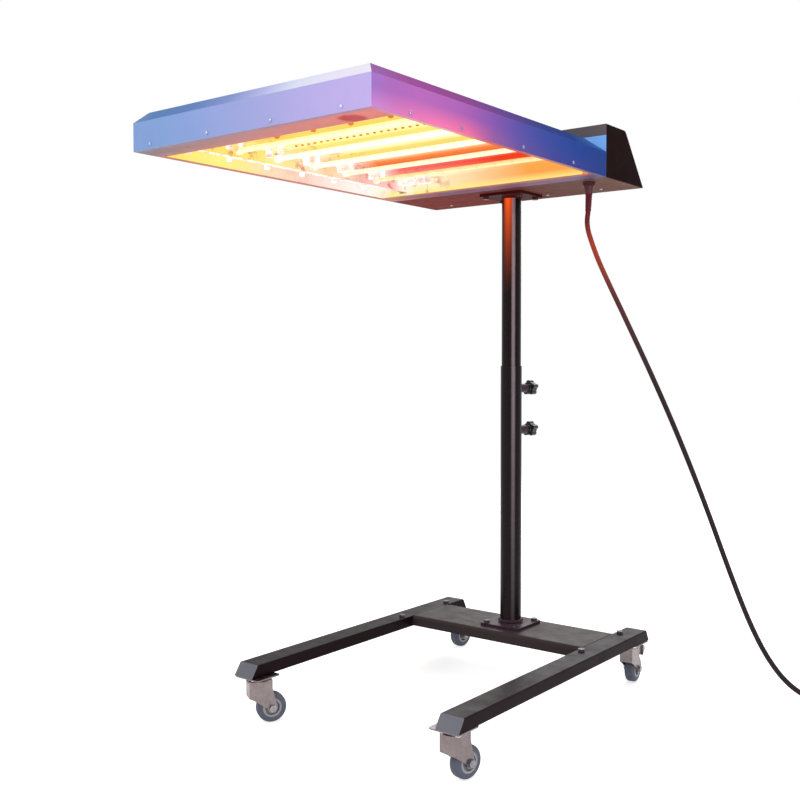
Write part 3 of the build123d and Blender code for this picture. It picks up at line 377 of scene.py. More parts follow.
@dataclass(frozen=True)
class HeadPaint(PowderCoat):
    """Blue paint of the heater head, with painted light on it: the heater's violet and pink glow about its front
    right corner, glare on the chamfers and paler lit faces.
    """

    name: str = "head_blue"
    colour: Colour = tone(44, 80, 152)
    worn: Colour = (0.3, 0.33, 0.42)
    rough: float = 0.34
    spread: float = 0.04
    chamfer: Span = (0.3, 0.5)
    wall_low: Span = (UNDERSIDE + 0.032, UNDERSIDE + 0.003)
    riser_from: Span = (-0.4, -0.3)
    # Painted light: the pale blue of the faces behind the head that look forward, where the lamps fall on them.
    lit_riser_colour: Colour = tone(128, 184, 248)
    # Painted light and glow: each face's lit look, paler on the front and the chamfers and darker on the right wall
    # towards the rear, with the heater's violet and pink glow towards the front right corner, low on the right wall
    # and on the edges that look down.
    front: Stops = ramp(
        (-0.28, 134, 166, 218), (-0.2, 136, 168, 222), (-0.11, 147, 171, 228), (0.05, 173, 176, 232),
        (0.13, 189, 180, 238), (0.28, 206, 185, 244))
    front_bevel: Stops = ramp(
        (-0.28, 118, 146, 188), (-0.23, 98, 132, 184), (-0.13, 104, 134, 190), (-0.035, 136, 152, 205),
        (0.045, 184, 189, 231), (0.12, 226, 229, 246), (0.28, 242, 235, 247))
    side: Stops = ramp(
        (-0.5, 164, 118, 200), (-0.455, 178, 108, 190), (-0.375, 188, 106, 188), (-0.295, 180, 102, 184),
        (-0.255, 170, 97, 182), (-0.215, 153, 92, 178), (-0.175, 132, 86, 174), (-0.095, 90, 80, 168),
        (-0.015, 60, 74, 160), (0.065, 36, 68, 154), (0.145, 20, 62, 147), (0.237, 10, 56, 138))
    side_bevel: Stops = ramp(
        (-0.5, 150, 104, 168), (-0.4, 158, 82, 150), (-0.255, 142, 76, 142), (-0.135, 104, 72, 140),
        (-0.015, 62, 70, 134), (0.105, 42, 66, 128), (0.237, 60, 104, 176))
    side_low_glow: Stops = ramp(
        (-0.5, 205, 136, 209), (-0.415, 230, 123, 184), (-0.335, 250, 124, 178), (-0.255, 248, 116, 166),
        (-0.215, 206, 104, 164), (-0.175, 154, 95, 160), (-0.095, 103, 84, 162), (0.03, 66, 66, 150),
        (0.237, 16, 54, 136))
    edge: Stops = ramp(
        (-0.5, 188, 150, 176), (-0.4, 240, 150, 170), (-0.2, 226, 106, 110), (0.0, 170, 104, 120),
        (0.237, 50, 64, 130))

    def shade(self, graph: Graph) -> object:
        """Colours along the front wall, the right wall and the chamfers over them, with each face's lit look and the
        heater's glow painted in.

        Args:
            graph: The material's tree.

        Returns:
            The colour socket.
        """
        up = graph.remap(graph.normal("Z"), *self.chamfer)
        front = graph.mix(up, graph.along("X", self.front), graph.along("X", self.front_bevel))
        front = graph.mix(graph.remap(graph.part("Y"), *self.riser_from), front, self.lit_riser_colour)
        low = graph.remap(graph.part("Z"), *self.wall_low)
        side = graph.mix(low, graph.along("Y", self.side), graph.along("Y", self.side_low_glow))
        side = graph.mix(up, side, graph.along("Y", self.side_bevel))
        walls = graph.mix(graph.remap(graph.normal("Y"), -0.35, -0.6), self.colour, front)
        walls = graph.mix(graph.remap(graph.normal("X"), 0.35, 0.6), walls, side)
        return graph.mix(graph.remap(graph.normal("Z"), -0.5, -0.8), walls, graph.along("Y", self.edge))

    def gloss(self, graph: Graph) -> object:
        """A specular level that dies away on the chamfers."""
        return graph.remap(graph.normal("Z"), 0.2, 0.45, self.specular, 0.0)


@dataclass(frozen=True)
class LipPaint(PowderCoat):
    """Blue paint of the bottom frame, with the heater's red and pink glow painted on it towards the mouth, and a dark
    red blotch near the front right.
    """

    name: str = "lip_blue"
    colour: Colour = tone(96, 84, 130)
    worn: Colour = (0.3, 0.3, 0.36)
    rough: float = 0.5
    specular: float = 0.05
    spread: float = 0.05
    # Painted light: each lip's look under the heater's glow, redder towards the mouth and the front right corner.
    front: Stops = ramp(
        (-0.26, 150, 134, 138), (-0.18, 176, 138, 138), (-0.1, 192, 140, 138), (-0.02, 206, 142, 140),
        (0.06, 222, 142, 138), (0.14, 238, 142, 134), (0.27, 250, 138, 130))
    rear: Stops = ramp(
        (-0.28, 214, 144, 112), (-0.2, 160, 98, 104), (-0.1, 118, 72, 98), (0.0, 136, 84, 112),
        (0.1, 138, 100, 124), (0.2, 130, 102, 126), (0.28, 96, 82, 120))
    side: Stops = ramp(
        (-0.5, 214, 140, 190), (-0.4, 250, 170, 178), (-0.3, 253, 190, 190), (-0.2, 236, 106, 92),
        (-0.1, 214, 106, 96), (0.0, 208, 130, 102), (0.1, 194, 146, 120), (0.237, 100, 84, 120))
    # outer is the bluer front edge; inner is the heater's glow painted at the mouth's edge.
    outer: Colour = (0.31, 0.31, 0.44)
    inner: Colour = (0.8, 0.27, 0.2)
    # A dark red blotch near the front right of the mouth.
    dark_red_blotch: Colour = (0.6, 0.03, 0.04)
    dark_red_blotch_place: Place = (0.207, HEAD_FRONT + 0.04, UNDERSIDE)
    dark_red_blotch_reach: float = 0.027
    front_edge: Span = (HEAD_FRONT + 0.016, HEAD_FRONT)
    front_mouth: Span = (HEAD_FRONT + 0.034, HEAD_FRONT + 0.062)
    rear_mouth: Span = (HEAD_REAR - 0.034, HEAD_REAR - 0.05)
    rear_from: Span = (HEAD_REAR - 0.06, HEAD_REAR - 0.052)
    side_from: Span = (HEAD_SIDE - 0.012, HEAD_SIDE - 0.009)

    def shade(self, graph: Graph) -> object:
        """Colours along each lip, with more of the heater's glow painted towards the mouth.

        Args:
            graph: The material's tree.

        Returns:
            The colour socket.
        """
        depth = graph.part("Y")
        wall_side = graph.remap(depth, *self.front_edge)
        front = graph.mix(wall_side, graph.along("X", self.front), self.outer)
        front_glow_share = graph.remap(depth, *self.front_mouth, 0.0, 0.7)
        front = graph.mix(front_glow_share, front, self.inner)
        spots = graph.patches(90.0, 0.35, 0.5, 0.5, 1.0)
        blotch = graph.math("MULTIPLY", graph.near(self.dark_red_blotch_place, self.dark_red_blotch_reach), spots)
        front = graph.mix(graph.math("MINIMUM", graph.math("MULTIPLY", blotch, 2.6), 0.85), front, self.dark_red_blotch)
        rear_glow_share = graph.remap(depth, *self.rear_mouth, 0.0, 0.7)
        rear = graph.mix(rear_glow_share, graph.along("X", self.rear), self.inner)
        lip = graph.mix(graph.remap(depth, *self.rear_from), front, rear)
        return graph.mix(graph.remap(graph.part("X"), *self.side_from), lip, graph.along("Y", self.side))


@dataclass(frozen=True)
class BoxPaint(PowderCoat):
    """Brown-black paint of the control box, with painted light that makes the strip looking over the head greyer."""

    name: str = "box_black"
    colour: Colour = tone(25, 7, 8)
    worn: Colour = (0.06, 0.04, 0.036)
    rough: float = 0.48
    specular: float = 0.015
    peel: float = 430.0
    peel_depth: float = 0.0002
    dusty: float = 0.03
    # Painted light: the greyer tone of the faces that look forward, where the lamps fall.
    front: Colour = (0.135, 0.11, 0.113)

    def shade(self, graph: Graph) -> object:
        """The paint, and its front made greyer with painted light."""
        return graph.mix(graph.remap(graph.normal("Y"), -0.6, -0.9), self.colour, self.front)


@dataclass(frozen=True)
class LegPaint(PowderCoat):
    """Black paint of the legs, with the grey of their closed front ends."""

    name: str = "leg_black"
    colour: Colour = tone(27, 14, 19)
    worn: Colour = (0.13, 0.11, 0.12)
    specular: float = 0.04
    dusty: float = 0.03
    end: Colour = (0.16, 0.165, 0.19)

    def shade(self, graph: Graph) -> object:
        """The paint, and the paler ends that look forward."""
        forward = graph.remap(graph.normal("Y"), -0.5, -0.62)
        return graph.mix(forward, self.colour, self.end)


@dataclass(frozen=True)
class FloorPaint(PowderCoat):
    """Brown-black paint of the control box's floor, with painted light that makes it a lighter brown, redder towards
    its left.
    """

    name: str = "box_floor_brown"
    colour: Colour = tone(104, 76, 72)
    worn: Colour = (0.2, 0.15, 0.12)
    rough: float = 0.55
    specular: float = 0.02
    dusty: float = 0.0
    # Painted light: the floor's lit look, from red at the left to brown at the right.
    across: Stops = ramp((-0.28, 124, 40, 28), (-0.05, 118, 42, 34), (0.08, 108, 60, 52), (0.28, 122, 88, 76))

    def shade(self, graph: Graph) -> object:
        """Colours from the floor's left to its right, its lit look painted in."""
        return graph.along("X", self.across)


@dataclass(frozen=True)
class MastPaint(PowderCoat):
    """Black paint of the mast, with a painted highlight down one side and the heater's orange light painted near its
    top.
    """

    worn: Colour = (0.16, 0.14, 0.13)
    rough: float = 0.26
    specular: float = 0.1
    peel_depth: float = 0.000005
    dusty: float = 0.02
    # Painted highlight: the paler band down one side where a lamp's reflection falls.
    sheen: Colour = (0.27, 0.22, 0.26)
    sheen_side: Place = (0.6955, -0.7187, 0.0)
    glow: Colour = (1.0, 0.1, 0.01)
    glow_strength: float = 1.0
    sheen_heights: Span = (0.12, 0.85)
    glow_heights: Span = (0.86, 1.09)
    glow_side: Place = (0.156, -0.988, 0.0)

    def shade(self, graph: Graph) -> object:
        """The paint, with a paler painted highlight along one side."""
        side = graph.toward(self.sheen_side, 0.972, 0.999)
        painted_highlight = graph.math("MULTIPLY", side, graph.patches(14.0, 0.2, 0.7, 0.8, 1.0))
        painted_highlight = graph.math("MULTIPLY", painted_highlight, graph.remap(graph.part("Z"), *self.sheen_heights, 0.15, 1.0))
        return graph.mix(painted_highlight, self.colour, self.sheen)

    def light(self, graph: Graph) -> None:
        """The heater's light, painted on the side that looks towards the mouth."""
        high = graph.remap(graph.part("Z"), *self.glow_heights)
        band = graph.math("POWER", graph.toward(self.glow_side, 0.8, 1.0), 1.5)
        lit = graph.math("MULTIPLY", graph.math("POWER", high, 2.1), band)
        graph.glow(lit, (0.0, 0.0, 0.0), self.glow, self.glow_strength)


@dataclass(frozen=True)
class BareMetal(Finish):
    """Plated, rolled or drawn metal, with fine scratches and a mottled plating."""

    colour: Colour
    tint: Colour
    rough: float = 0.3
    grain: tuple[float, float, float] = (40.0, 900.0, 900.0)
    spots: float = 60.0
    grime: float = 0.25
    depth: float = 0.00006

    def fill(self, graph: Graph) -> None:
        """Sets the material's nodes."""
        plated = graph.mix(graph.patches(self.spots, 0.3, 0.7), self.colour, self.tint)
        plated = graph.brighten(plated, graph.remap(graph.cells(6 * self.spots), 0.0, 0.7, 0.93, 1.06))
        dirt = graph.patches(38.0, 0.55, 0.75, 0.0, self.grime)
        graph.set(Base_Color=graph.mix(dirt, plated, GRIME), Metallic=1.0)
        brushed = graph.noise(1.0, 3.0, 0.6, graph.stretched(*self.grain))
        rough = graph.remap(brushed, 0.25, 0.75, self.rough - 0.08, self.rough + 0.12)
        graph.set(Roughness=graph.math("ADD", rough, graph.math("MULTIPLY", dirt, 0.5)))
        graph.set(Normal=graph.relief(brushed, self.depth, 0.5))


@dataclass(frozen=True)
class Moulded(Finish):
    """Moulded plastic, rubber or ceramic, with grain, scuffs and a faint speckle."""

    colour: Colour
    scuff: Colour
    rough: float = 0.45
    specular: float = 0.3
    grain: float = 700.0
    depth: float = 0.00008
    scuffed: float = 0.25
    glow: Colour = (0.0, 0.0, 0.0)
    glow_low: Colour = (0.0, 0.0, 0.0)
    glow_strength: float = 0.0

    def shade(self, graph: Graph) -> Socket:
        """The mass's own colour; finishes with colour changes replace this."""
        return graph.mix(graph.patches(240.0, 0.35, 0.7), self.colour, [min(1.0, 1.25 * c) for c in self.colour])

    def fill(self, graph: Graph) -> None:
        """Sets the material's nodes."""
        body = self.shade(graph)
        marks = graph.patches(42.0, 0.52, 0.72, 0.0, self.scuffed)
        graph.set(Base_Color=graph.mix(marks, body, self.scuff), Specular_IOR_Level=self.specular,
                  Roughness=graph.patches(64.0, 0.3, 0.7, self.rough - 0.07, self.rough + 0.1))
        grain = graph.relief(graph.noise(self.grain, 3.0), self.depth, 0.5)
        graph.set(Normal=graph.relief(marks, self.depth, 0.3, grain))
        # Glow painted as emission in patches; on the heater's caps and fixings it is the heater's light painted on,
        # with glow_low as painted shade between.
        if self.glow_strength:
            graph.glow(graph.patches(60.0, 0.38, 0.62), self.glow_low, self.glow, self.glow_strength)


@dataclass(frozen=True)
class CordRubber(Moulded):
    """Rubber sheath, reddened by the heater's light in its upper part."""

    name: str = "sheath_rubber"
    colour: Colour = tone(40, 26, 26)
    scuff: Colour = tone(78, 62, 60)
    rough: float = 0.42
    specular: float = 0.1
    grain: float = 500.0
    scuffed: float = 0.2
    # Painted light: the heater's red light on the upper part of the cord.
    up: Stops = ramp(
        (0.0, 36, 28, 30), (0.66, 44, 32, 35), (0.76, 62, 40, 43), (0.86, 90, 45, 46), (0.91, 136, 58, 48),
        (0.97, 172, 66, 42), (1.02, 104, 38, 40), (1.08, 96, 32, 44))

    def shade(self, graph: Graph) -> Socket:
        """Colours up the cord, finely mottled."""
        return graph.brighten(graph.along("Z", self.up), graph.patches(240.0, 0.35, 0.7, 1.0, 1.12))


@dataclass(frozen=True)
class GlowLitSheet(Finish):
    """Bright sheet over and beside the tubes, with their yellow to red light painted on it as its own glow."""

    name: str = "glow_lit_sheet"
    # Painted light: the tubes' light on the sheet, from the front to the rear, and whiter on the left.
    heat: Stops = ramp(
        (-0.46, 250, 190, 90), (-0.31, 252, 222, 104), (-0.276, 250, 208, 100), (-0.226, 252, 246, 168),
        (-0.176, 248, 222, 104), (-0.126, 253, 250, 210), (-0.086, 244, 216, 110), (-0.026, 252, 220, 160),
        (0.01, 246, 134, 64), (0.024, 232, 64, 26), (0.052, 238, 100, 66), (0.078, 250, 160, 130),
        (0.096, 230, 50, 20), (0.112, 236, 56, 22), (0.14, 244, 98, 46), (0.176, 246, 138, 60), (0.2, 249, 160, 76),
        (0.24, 250, 176, 84))
    left: Stops = ramp(
        (-0.46, 252, 232, 110), (-0.34, 252, 242, 136), (-0.25, 254, 240, 150), (-0.17, 252, 224, 190),
        (-0.08, 250, 214, 196), (0.02, 252, 236, 226), (0.14, 254, 250, 244), (0.24, 253, 242, 196))
    rough: float = 0.3
    strength: float = 0.9
    mirror: float = 0.12
    # Painted shade: dark red among the wire clutter at the left, and red streaks between the bright bands; rear_low
    # is yellow light painted low on the rear wall.
    clutter_shade: Colour = (0.62, 0.09, 0.07)
    streak: Colour = (0.82, 0.2, 0.035)
    rear_low: Colour = (0.98, 0.88, 0.27)
    left_fade: Span = (-0.14, -0.235)
    rear_left_fade: Span = (0.1, -0.16)
    rear_fade: Span = (0.1, 0.17)
    rear_wall: Span = (0.2, 0.22)
    wall_low: Span = (UNDERSIDE + 0.026, UNDERSIDE + 0.01)
    clutter_right: Span = (-0.08, -0.15)
    clutter_left: Span = (-0.23, -0.2)

    def fill(self, graph: Graph) -> None:
        """Sets the material's nodes: painted light and shade, which also glow as emission."""
        beside = graph.remap(graph.part("X"), *self.left_fade)
        rear_left = graph.math("MULTIPLY", graph.remap(graph.part("X"), *self.rear_left_fade),
                               graph.remap(graph.part("Y"), *self.rear_fade))
        share = graph.math("MAXIMUM", beside, rear_left)
        warm = graph.mix(share, graph.along("Y", self.heat), graph.along("Y", self.left))
        streaks = graph.noise(1.0, 3.0, 0.6, graph.stretched(1.6, 170.0, 1.6))
        down = graph.remap(graph.normal("Z"), -0.3, -0.8)
        streaky = graph.math("MULTIPLY", graph.remap(streaks, 0.44, 0.3, 0.0, 0.6), down)
        warm = graph.mix(streaky, warm, self.streak)
        low = graph.math("MULTIPLY", graph.remap(graph.part("Z"), *self.wall_low),
                         graph.remap(graph.part("Y"), *self.rear_wall))
        warm = graph.mix(low, warm, self.rear_low)
        place = graph.part("X")
        zone = graph.math("MINIMUM", graph.remap(place, *self.clutter_right),
                          graph.remap(place, *self.clutter_left, 0.2, 1.0))
        marks = graph.math("MULTIPLY", zone, graph.patches(42.0, 0.52, 0.64, 0.0, 0.7))
        warm = graph.mix(marks, warm, self.clutter_shade)
        tarnish = graph.patches(18.0, 0.4, 0.75, 1.15 * self.mirror, 0.7 * self.mirror)
        graph.set(Base_Color=graph.brighten(warm, tarnish), Metallic=1.0)
        rolled = graph.noise(1.0, 3.0, 0.6, graph.stretched(14.0, 420.0, 420.0))
        graph.set(Roughness=graph.remap(rolled, 0.2, 0.8, self.rough - 0.06, self.rough + 0.14))
        dimples = graph.relief(graph.cells(70.0), 0.0007, 0.3)
        graph.set(Normal=graph.relief(rolled, 0.0002, 0.4, dimples))
        graph.set(Emission_Color=warm, Emission_Strength=self.strength)


@dataclass(frozen=True)
class HotQuartz(Finish):
    """Milky quartz tube lit from inside by its winding."""

    name: str = "hot_quartz"
    glow: Stops = ramp(
        (-0.43, 252, 222, 110), (-0.33, 252, 236, 132), (-0.23, 254, 246, 190), (-0.13, 254, 238, 176),
        (-0.03, 252, 184, 150), (0.08, 250, 170, 84))
    strength: float = 0.9
    alpha: float = 0.5

    def fill(self, graph: Graph) -> None:
        """Sets the material's nodes."""
        milk = graph.patches(60.0, 0.3, 0.7)
        graph.set(Base_Color=graph.mix(milk, (0.75, 0.72, 0.68), (0.85, 0.84, 0.82)), Alpha=self.alpha)
        turns = graph.remap(graph.bands(120.0, "X", 0.6), 0.0, 1.0, 0.93, 1.0)
        graph.set(Emission_Color=graph.brighten(graph.along("Y", self.glow), turns), Emission_Strength=self.strength)
        graph.set(Roughness=graph.remap(milk, 0.0, 1.0, 0.08, 0.2))
        graph.set(Normal=graph.relief(graph.noise(180.0, 2.0), 0.0001, 0.3))


@dataclass(frozen=True)
class HotWire(Finish):
    """Resistance wire at its running heat, duller towards its cool ends."""

    name: str = "hot_wire"
    hot: Stops = ramp(
        (-0.43, 255, 250, 200), (-0.2, 255, 255, 240), (-0.1, 255, 252, 232), (-0.03, 254, 214, 190),
        (0.08, 252, 190, 104))
    cool: Colour = (0.9, 0.16, 0.03)
    strength: float = 1.4
    left_end: Span = (-0.17, -0.2)
    right_end: Span = (0.23, 0.26)

    def fill(self, graph: Graph) -> None:
        """Sets the material's nodes."""
        place = graph.part("X")
        ends = graph.math("MAXIMUM", graph.remap(place, *self.left_end), graph.remap(place, *self.right_end))
        glow = graph.mix(ends, graph.along("Y", self.hot), self.cool)
        flicker = graph.patches(90.0, 0.3, 0.7)
        graph.set(Base_Color=graph.mix(flicker, (0.2, 0.08, 0.04), (0.4, 0.2, 0.1)), Metallic=1.0)
        graph.set(Emission_Color=graph.brighten(glow, graph.remap(flicker, 0.0, 1.0, 0.8, 1.0)))
        graph.set(Emission_Strength=self.strength, Roughness=graph.remap(flicker, 0.0, 1.0, 0.35, 0.55))
        graph.set(Normal=graph.relief(graph.noise(800.0, 2.0), 0.00005, 0.4))


@dataclass(frozen=True)
class Woven(Finish):
    """Braided sleeve or felted mineral fibre."""

    colour: Colour
    shade: Colour
    weave: float = 420.0
    depth: float = 0.0003
    glow: Colour = (0.0, 0.0, 0.0)
    glow_low: Colour = (0.0, 0.0, 0.0)
    glow_strength: float = 0.0

    def fill(self, graph: Graph) -> None:
        """Sets the material's nodes."""
        strands = graph.math("MULTIPLY", graph.bands(self.weave, "DIAGONAL", 1.2), graph.noise(self.weave, 5.0, 0.7))
        cloth = graph.mix(graph.remap(strands, 0.0, 0.6), self.shade, self.colour)
        graph.set(Base_Color=graph.mix(graph.patches(26.0, 0.45, 0.75, 0.0, 0.6), cloth, SINGED))
        graph.set(Roughness=0.85, Normal=graph.relief(strands, self.depth, 0.7))
        # Painted light: the heater's light on the sleeve as emission in patches, with glow_low as painted shade
        # between.
        if self.glow_strength:
            graph.glow(graph.patches(45.0, 0.4, 0.58), self.glow_low, self.glow, self.glow_strength)


def linked(name: str, data: object) -> Object:
    """A new object with some data, linked into the scene."""
    made = bpy.data.objects.new(name, data)
    bpy.context.scene.collection.objects.link(made)
    return made


def as_mesh(bm: BMesh) -> Mesh:
    """A mesh of a finished bmesh, which is freed."""
    bmesh.ops.recalc_face_normals(bm, faces=bm.faces)
    mesh = bpy.data.meshes.new("shape")
    bm.to_mesh(mesh)
    bm.free()
    return mesh


def turned(outline: Iterable[Span], steps: int) -> Mesh:
    """A shape turned about the Z axis.

    Args:
        outline: Radius and height of each point; a radius of 0 closes a pole.
        steps: The number of steps round.

    Returns:
        The shape.
    """
    bm = bmesh.new()
    row = [bm.verts.new((radius, 0.0, height)) for radius, height in outline]
    edges = [bm.edges.new(pair) for pair in zip(row, row[1:])]
    bmesh.ops.spin(bm, geom=row + edges, cent=(0, 0, 0), axis=(0, 0, 1), dvec=(0, 0, 0),
                   angle=2 * math.pi, steps=steps, use_merge=True, use_duplicate=False)
    bmesh.ops.remove_doubles(bm, verts=bm.verts, dist=1e-6)
    return as_mesh(bm)


def facing(point: Sequence[float], outward: Sequence[float], turn: float = 0.0) -> Matrix:
    """A place at a point whose Z axis points outward, turned about that axis by some degrees."""
    tilt = Vector(outward).to_track_quat("Z", "Y").to_matrix().to_4x4()
    return Matrix.Translation(point) @ tilt @ Matrix.Rotation(math.radians(turn), 4, "Z")


@dataclass
class Piece:
    """A piece in the making: shapes are made once and stamped into it at their places."""

    name: str
    body: str
    slot: Slot
    bm: BMesh = field(default_factory=bmesh.new)

    def stamp(self, shape: Mesh, places: Iterable[Matrix] = (Matrix(),)) -> None:
        """Adds a copy of a shape at each place, and uses the shape up.

        Args:
            shape: The shape.
            places: Where its copies go.
        """
        for place in places:
            copy = shape.copy()
            copy.transform(place)
            self.bm.from_mesh(copy)
            bpy.data.meshes.remove(copy)
        bpy.data.meshes.remove(shape)

    def finish(self, material: Material, sharp: float = 35.0, merge: float = 0.0) -> Object:
        """Makes the object, gives it its finish and lets it ride on its body.

        Args:
            material: The finish.
            sharp: The angle in degrees past which an edge stays sharp.
            merge: How near points are merged, or 0 for none.

        Returns:
            The object.
        """
        if merge:
            bmesh.ops.remove_doubles(self.bm, verts=self.bm.verts, dist=merge)
        for face in self.bm.faces:
            face.smooth = True
        mesh = as_mesh(self.bm)
        mesh.name = self.name
        mesh.set_sharp_from_angle(angle=math.radians(sharp))
        mesh.materials.append(material)
        made = linked(self.name, mesh)
        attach(made, self.body)
        log.info("built %s: %d faces on %s", self.name, len(mesh.polygons), self.body)
        return made


def build_copies(name: str, slot: Slot, shape: Mesh, places: Iterable[Matrix], material: Material,
                 **finishing: float) -> Object:
    """A piece on the head's body made of copies of one shape.

    Args:
        name: The piece's name.
        slot: Its material slot.
        shape: The shape, which is used up.
        places: Where its copies go.
        material: The finish.
        finishing: Settings for Piece.finish.

    Returns:
        The object.
    """
    piece = Piece(name, "head", slot)
    piece.stamp(shape, places)
    return piece.finish(material, **finishing)


@dataclass
class Lamp:
    """A soft lamp panel."""

    name: str
    place: Place
    aim: Place
    width: float
    height: float
    power: float

    def build(self) -> None:
        """Hangs the lamp."""
        data = bpy.data.lights.new(self.name, "AREA")
        data.shape = "RECTANGLE"
        data.size, data.size_y = self.width, self.height
        data.energy = self.power
        lamp = linked(self.name, data)
        lamp.location = self.place
        lamp.rotation_euler = (Vector(self.aim) - Vector(self.place)).to_track_quat("-Z", "Y").to_euler()
        lamp.visible_camera = False


@dataclass
class Studio:
    """Camera, pale floor and soft light."""

    place: Place = (1.2671, -1.6685, 0.7305)
    azimuth: float = 37.02
    elevation: float = -1.94
    lens: float = 46.44
    shift: Span = (-0.0375, -0.0083)
    sensor: float = 36.0
    sight: float = 100.0
    floor_reach: float = 14.0
    floor_cells: int = 8
    sky: float = 0.5
    sky_colour: tuple[float, ...] = (0.95, 0.96, 1.0, 1.0)
    white: tuple[float, ...] = (1.0, 1.0, 1.0, 1.0)
    floor_lift: float = 0.62
    lamps: tuple[Lamp, ...] = (
        Lamp("window_side", (-2.6, -3.2, 3.0), (0.0, -0.2, 0.8), width=2.6, height=2.6, power=70.0),
        Lamp("ceiling", (0.6, 0.8, 4.2), (0.0, 0.0, 0.6), width=3.2, height=3.2, power=60.0),
        Lamp("tall_strip", (2.7, -1.35, 0.95), (0.0, 0.32, 0.8), width=0.4, height=1.9, power=27.0),
        Lamp("rear_fill", (-1.3, 3.4, 2.3), (0.0, 0.2, 0.8), width=2.2, height=2.2, power=42.0),
    )

    def set_camera(self) -> None:
        """Puts the camera at the photograph's viewing angle."""
        data = bpy.data.cameras.new("view")
        data.lens = self.lens
        data.sensor_width = self.sensor
        data.shift_x, data.shift_y = self.shift
        data.clip_end = self.sight
        camera = linked("view", data)
        camera.location = self.place
        turn = Matrix.Rotation(math.radians(self.azimuth), 4, "Z")
        tip = Matrix.Rotation(math.radians(90.0 + self.elevation), 4, "X")
        camera.rotation_euler = (turn @ tip).to_euler()
        bpy.context.scene.camera = camera
        bpy.context.scene.view_settings.view_transform = "Standard"

    def seen(self, tree: bpy.types.NodeTree) -> Socket:
        """A factor that is 1 for the eye, for reflections and through glass.

        Args:
            tree: The node tree that takes it.

        Returns:
            The factor.
        """
        path = tree.nodes.new("ShaderNodeLightPath")
        factor = path.outputs["Is Camera Ray"]
        for name in ("Is Glossy Ray", "Is Transmission Ray"):
            either = tree.nodes.new("ShaderNodeMath")
            either.operation = "MAXIMUM"
            tree.links.new(factor, either.inputs[0])
            tree.links.new(path.outputs[name], either.inputs[1])
            factor = either.outputs[0]
        return factor

    def set_world(self) -> None:
        """A white surround for the eye and for reflections, and a softer one as light."""
        world = bpy.data.worlds.new("surround")
        bpy.context.scene.world = world
        world.use_nodes = True
        tree = world.node_tree
        tree.nodes.clear()
        mix = tree.nodes.new("ShaderNodeMixShader")
        tree.links.new(self.seen(tree), mix.inputs["Fac"])
        for slot, colour, strength in ((1, self.sky_colour, self.sky), (2, self.white, 1.0)):
            background = tree.nodes.new("ShaderNodeBackground")
            background.inputs["Color"].default_value = colour
            background.inputs["Strength"].default_value = strength
            tree.links.new(background.outputs[0], mix.inputs[slot])
        tree.links.new(mix.outputs[0], tree.nodes.new("ShaderNodeOutputWorld").inputs["Surface"])

    def set_floor(self) -> None:
        """A pale floor that keeps the object's shadow."""
        bm = bmesh.new()
        bmesh.ops.create_grid(bm, x_segments=self.floor_cells, y_segments=self.floor_cells, size=self.floor_reach)
        floor = linked("studio_floor", as_mesh(bm))
        graph = Graph("studio_floor")
        graph.set(Base_Color=graph.mix(graph.patches(2.0, 0.3, 0.7), (0.8, 0.8, 0.8), (0.83, 0.83, 0.83)),
                  Roughness=0.95, Specular_IOR_Level=0.0, Emission_Color=(1.0, 1.0, 1.0))
        graph.set(Emission_Strength=graph.math("MULTIPLY", self.seen(graph.tree), self.floor_lift))
        floor.data.materials.append(graph.material)

    def build(self) -> None:
        """Sets the camera, surround, floor and lamps."""
        self.set_camera()
        self.set_world()
        self.set_floor()
        for lamp in self.lamps:
            lamp.build()
        log.info("set the studio")


@dataclass
class SubAssembly:
    """A part of the unit, with the finish that its small steel pieces share."""

    steel: Material


